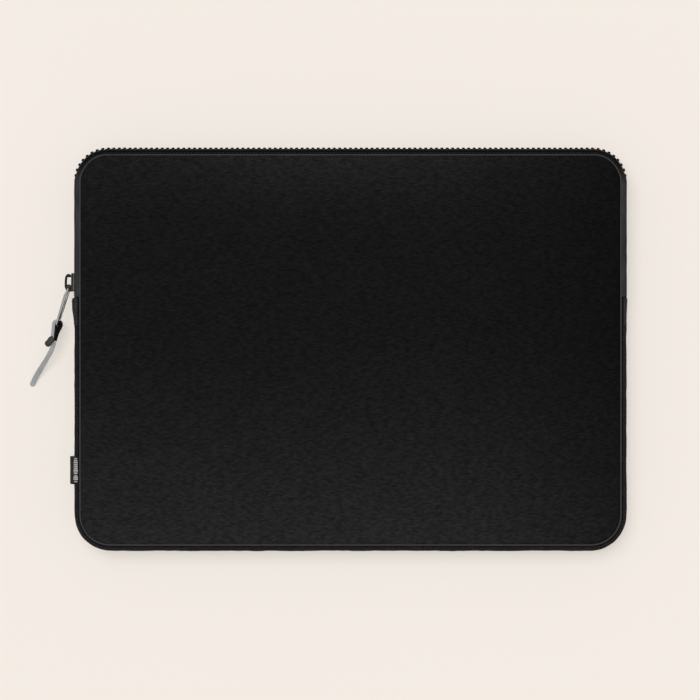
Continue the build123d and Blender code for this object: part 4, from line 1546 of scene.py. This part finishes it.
def make_puller():
    """A flat tab with a window and two knuckles at the bail, an eye for the strap. Its faces are dark as
    painted shade and its rims pale as a painted highlight.
    """
    bevel = 0.16
    rung = 0.65
    half_sheet = 0.48
    tab = rounded_corners(
        [(-rung + bevel, -2.7 + bevel), (PULLER_LENGTH + rung - bevel, -3.2 + bevel),
         (PULLER_LENGTH + rung - bevel, 3.2 - bevel), (-rung + bevel, 2.7 - bevel)], 1.0, 7)
    window = rounded_corners([(rung, -1.5 - bevel), (rung + 5.85, -1.5 - bevel),
                              (rung + 5.85, 1.5 + bevel), (rung, 1.5 + bevel)], 0.6, 6)
    eye_high = PULLER_LENGTH - rung
    eye = rounded_corners([(eye_high - 3.3, -2.2 - bevel * 0.5), (eye_high, -2.2 - bevel * 0.5),
                           (eye_high, 2.2 + bevel * 0.5), (eye_high - 3.3, 2.2 + bevel * 0.5)], 0.6, 6)
    curve = bpy.data.curves.new("puller_outline", "CURVE")
    curve.dimensions = "2D"
    curve.fill_mode = "BOTH"
    curve.extrude = (half_sheet - bevel) * MM
    curve.bevel_depth = bevel * MM
    curve.bevel_resolution = 3
    for loop_points in (tab, window, eye):
        spline = curve.splines.new("POLY")
        spline.points.add(len(loop_points) - 1)
        for point, (a, b) in zip(spline.points, loop_points):
            point.co = (a * MM, b * MM, 0, 1)
        spline.use_cyclic_u = True
    drawn = bpy.data.objects.new("puller_outline", curve)
    mesh = bpy.data.meshes.new_from_object(drawn)
    bpy.data.objects.remove(drawn)
    shape = bmesh.new()
    shape.from_mesh(mesh)
    bmesh.ops.remove_doubles(shape, verts=shape.verts, dist=0.00001)
    along = Vector((-sin(PULLER_LEAN), -cos(PULLER_LEAN), 0))
    flat = Vector((cos(PULLER_LEAN), -sin(PULLER_LEAN), 0))
    up = Vector((0, 0, 1))
    wide = up * cos(PULLER_TILT) + flat * sin(PULLER_TILT)
    through = flat * cos(PULLER_TILT) - up * sin(PULLER_TILT)
    origin = Vector((*PULLER_PIVOT, MID)) * MM
    for vert in shape.verts:
        a, b, c = vert.co
        bow = 0.10 * MM * sin(pi * a / (PULLER_LENGTH * MM))
        bow -= 1.25 * MM * smooth_step(a / MM, 0.9, 3.6) * (1 - 0.6 * smooth_step(a / MM, 19.5, 23.5))
        vert.co = origin + along * a + wide * b + through * (c + bow)
    turns = [2 * pi * k / 24 for k in range(24)]
    for side in (-1, 1):
        disc = [
            (KNUCKLE[0] + KNUCKLE_RADIUS * cos(t), KNUCKLE[1] + KNUCKLE_RADIUS * sin(t), MID + side * 1.3)
            for t in turns
        ]
        prism(shape, disc, (0, 0, side * 1.6), 0.25, 2)
    piece = new_piece("puller_soft", mesh_of("puller_soft", shape), PULLER_METAL, PULLER_EDGE_HIGHLIGHT)
    knuckle = Vector(KNUCKLE) * MM
    dark = (KNUCKLE_RADIUS + 0.2) * MM
    # Faces across the sheet keep the dark material as painted shade and the rims take the pale one as a
    # painted highlight, except round the knuckles
    numbers = [
        int(abs(polygon.normal.dot(through)) < 0.8 and (polygon.center.xy - knuckle).length > dark)
        for polygon in piece.data.polygons
    ]
    piece.data.polygons.foreach_set("material_index", numbers)
    return soft_corners(piece)


slider = make_slider()
bail = make_bail()
puller = make_puller()

# ------------------------------------------------------------------ shadow linking, bodies and hidden CAD parts

thin_pieces = bpy.data.collections.new("thin_pieces")
for piece in (tail, loop, head, bail, puller):
    thin_pieces.objects.link(piece)
for member in thin_pieces.collection_objects:
    member.light_linking.link_state = "EXCLUDE"
overhead.light_linking.blocker_collection = thin_pieces

for piece, node, slot in (
    (front_cover, "front_cover", "shell_fabric"),
    (front_foam, "front_foam", "foam"),
    (front_lining, "front_lining", "plush_lining"),
    (front_piping, "front_piping", "edge_piping"),
    (front_binding, "front_binding", "binding"),
    (front_tape, "front_tape_soft", "zipper_tape"),
    (front_teeth, "front_teeth_soft", "zipper_teeth"),
    (front_stitches, None, "shell_fabric"),
):
    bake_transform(piece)
    if node:
        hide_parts(*FLAP_HALVES[node])

for piece, node, slot in (
    (back_cover, "back_cover", "shell_fabric"),
    (back_foam, "back_foam", "foam"),
    (back_lining, "back_lining", "plush_lining"),
    (back_piping, "back_piping", "edge_piping"),
    (back_binding, "back_binding", "binding"),
    (gusset, "gusset", "shell_fabric"),
    (gusset_foam, "gusset_foam", "foam"),
    (gusset_lining, "gusset_lining", "plush_lining"),
    (back_tape, "back_zipper_tape", "zipper_tape"),
    (back_teeth, "back_teeth", "zipper_teeth"),
    (guard, "zipper_guard", "plush_lining"),
    (stops, "zipper_stops", "zipper_teeth"),
    (retainer, "zipper_retainer", "zipper_teeth"),
    (left_tab, "zipper_end_tab_left", "shell_fabric"),
    (right_tab, "zipper_end_tab_right", "shell_fabric"),
    (label, "side_label", "label_ribbon"),
    (back_stitches, None, "shell_fabric"),
    (left_tab_stitches, None, "shell_fabric"),
    (right_tab_stitches, None, "shell_fabric"),
):
    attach(piece, "sleeve")
    if node:
        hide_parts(node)

for piece, node, body, slot in (
    (slider, "slider_body", "slider", "slider_metal"),
    (bail, "slider_bail", "slider", "slider_metal"),
    (puller, "puller", "puller", "puller_metal"),
):
    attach(piece, body)
    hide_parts(node)
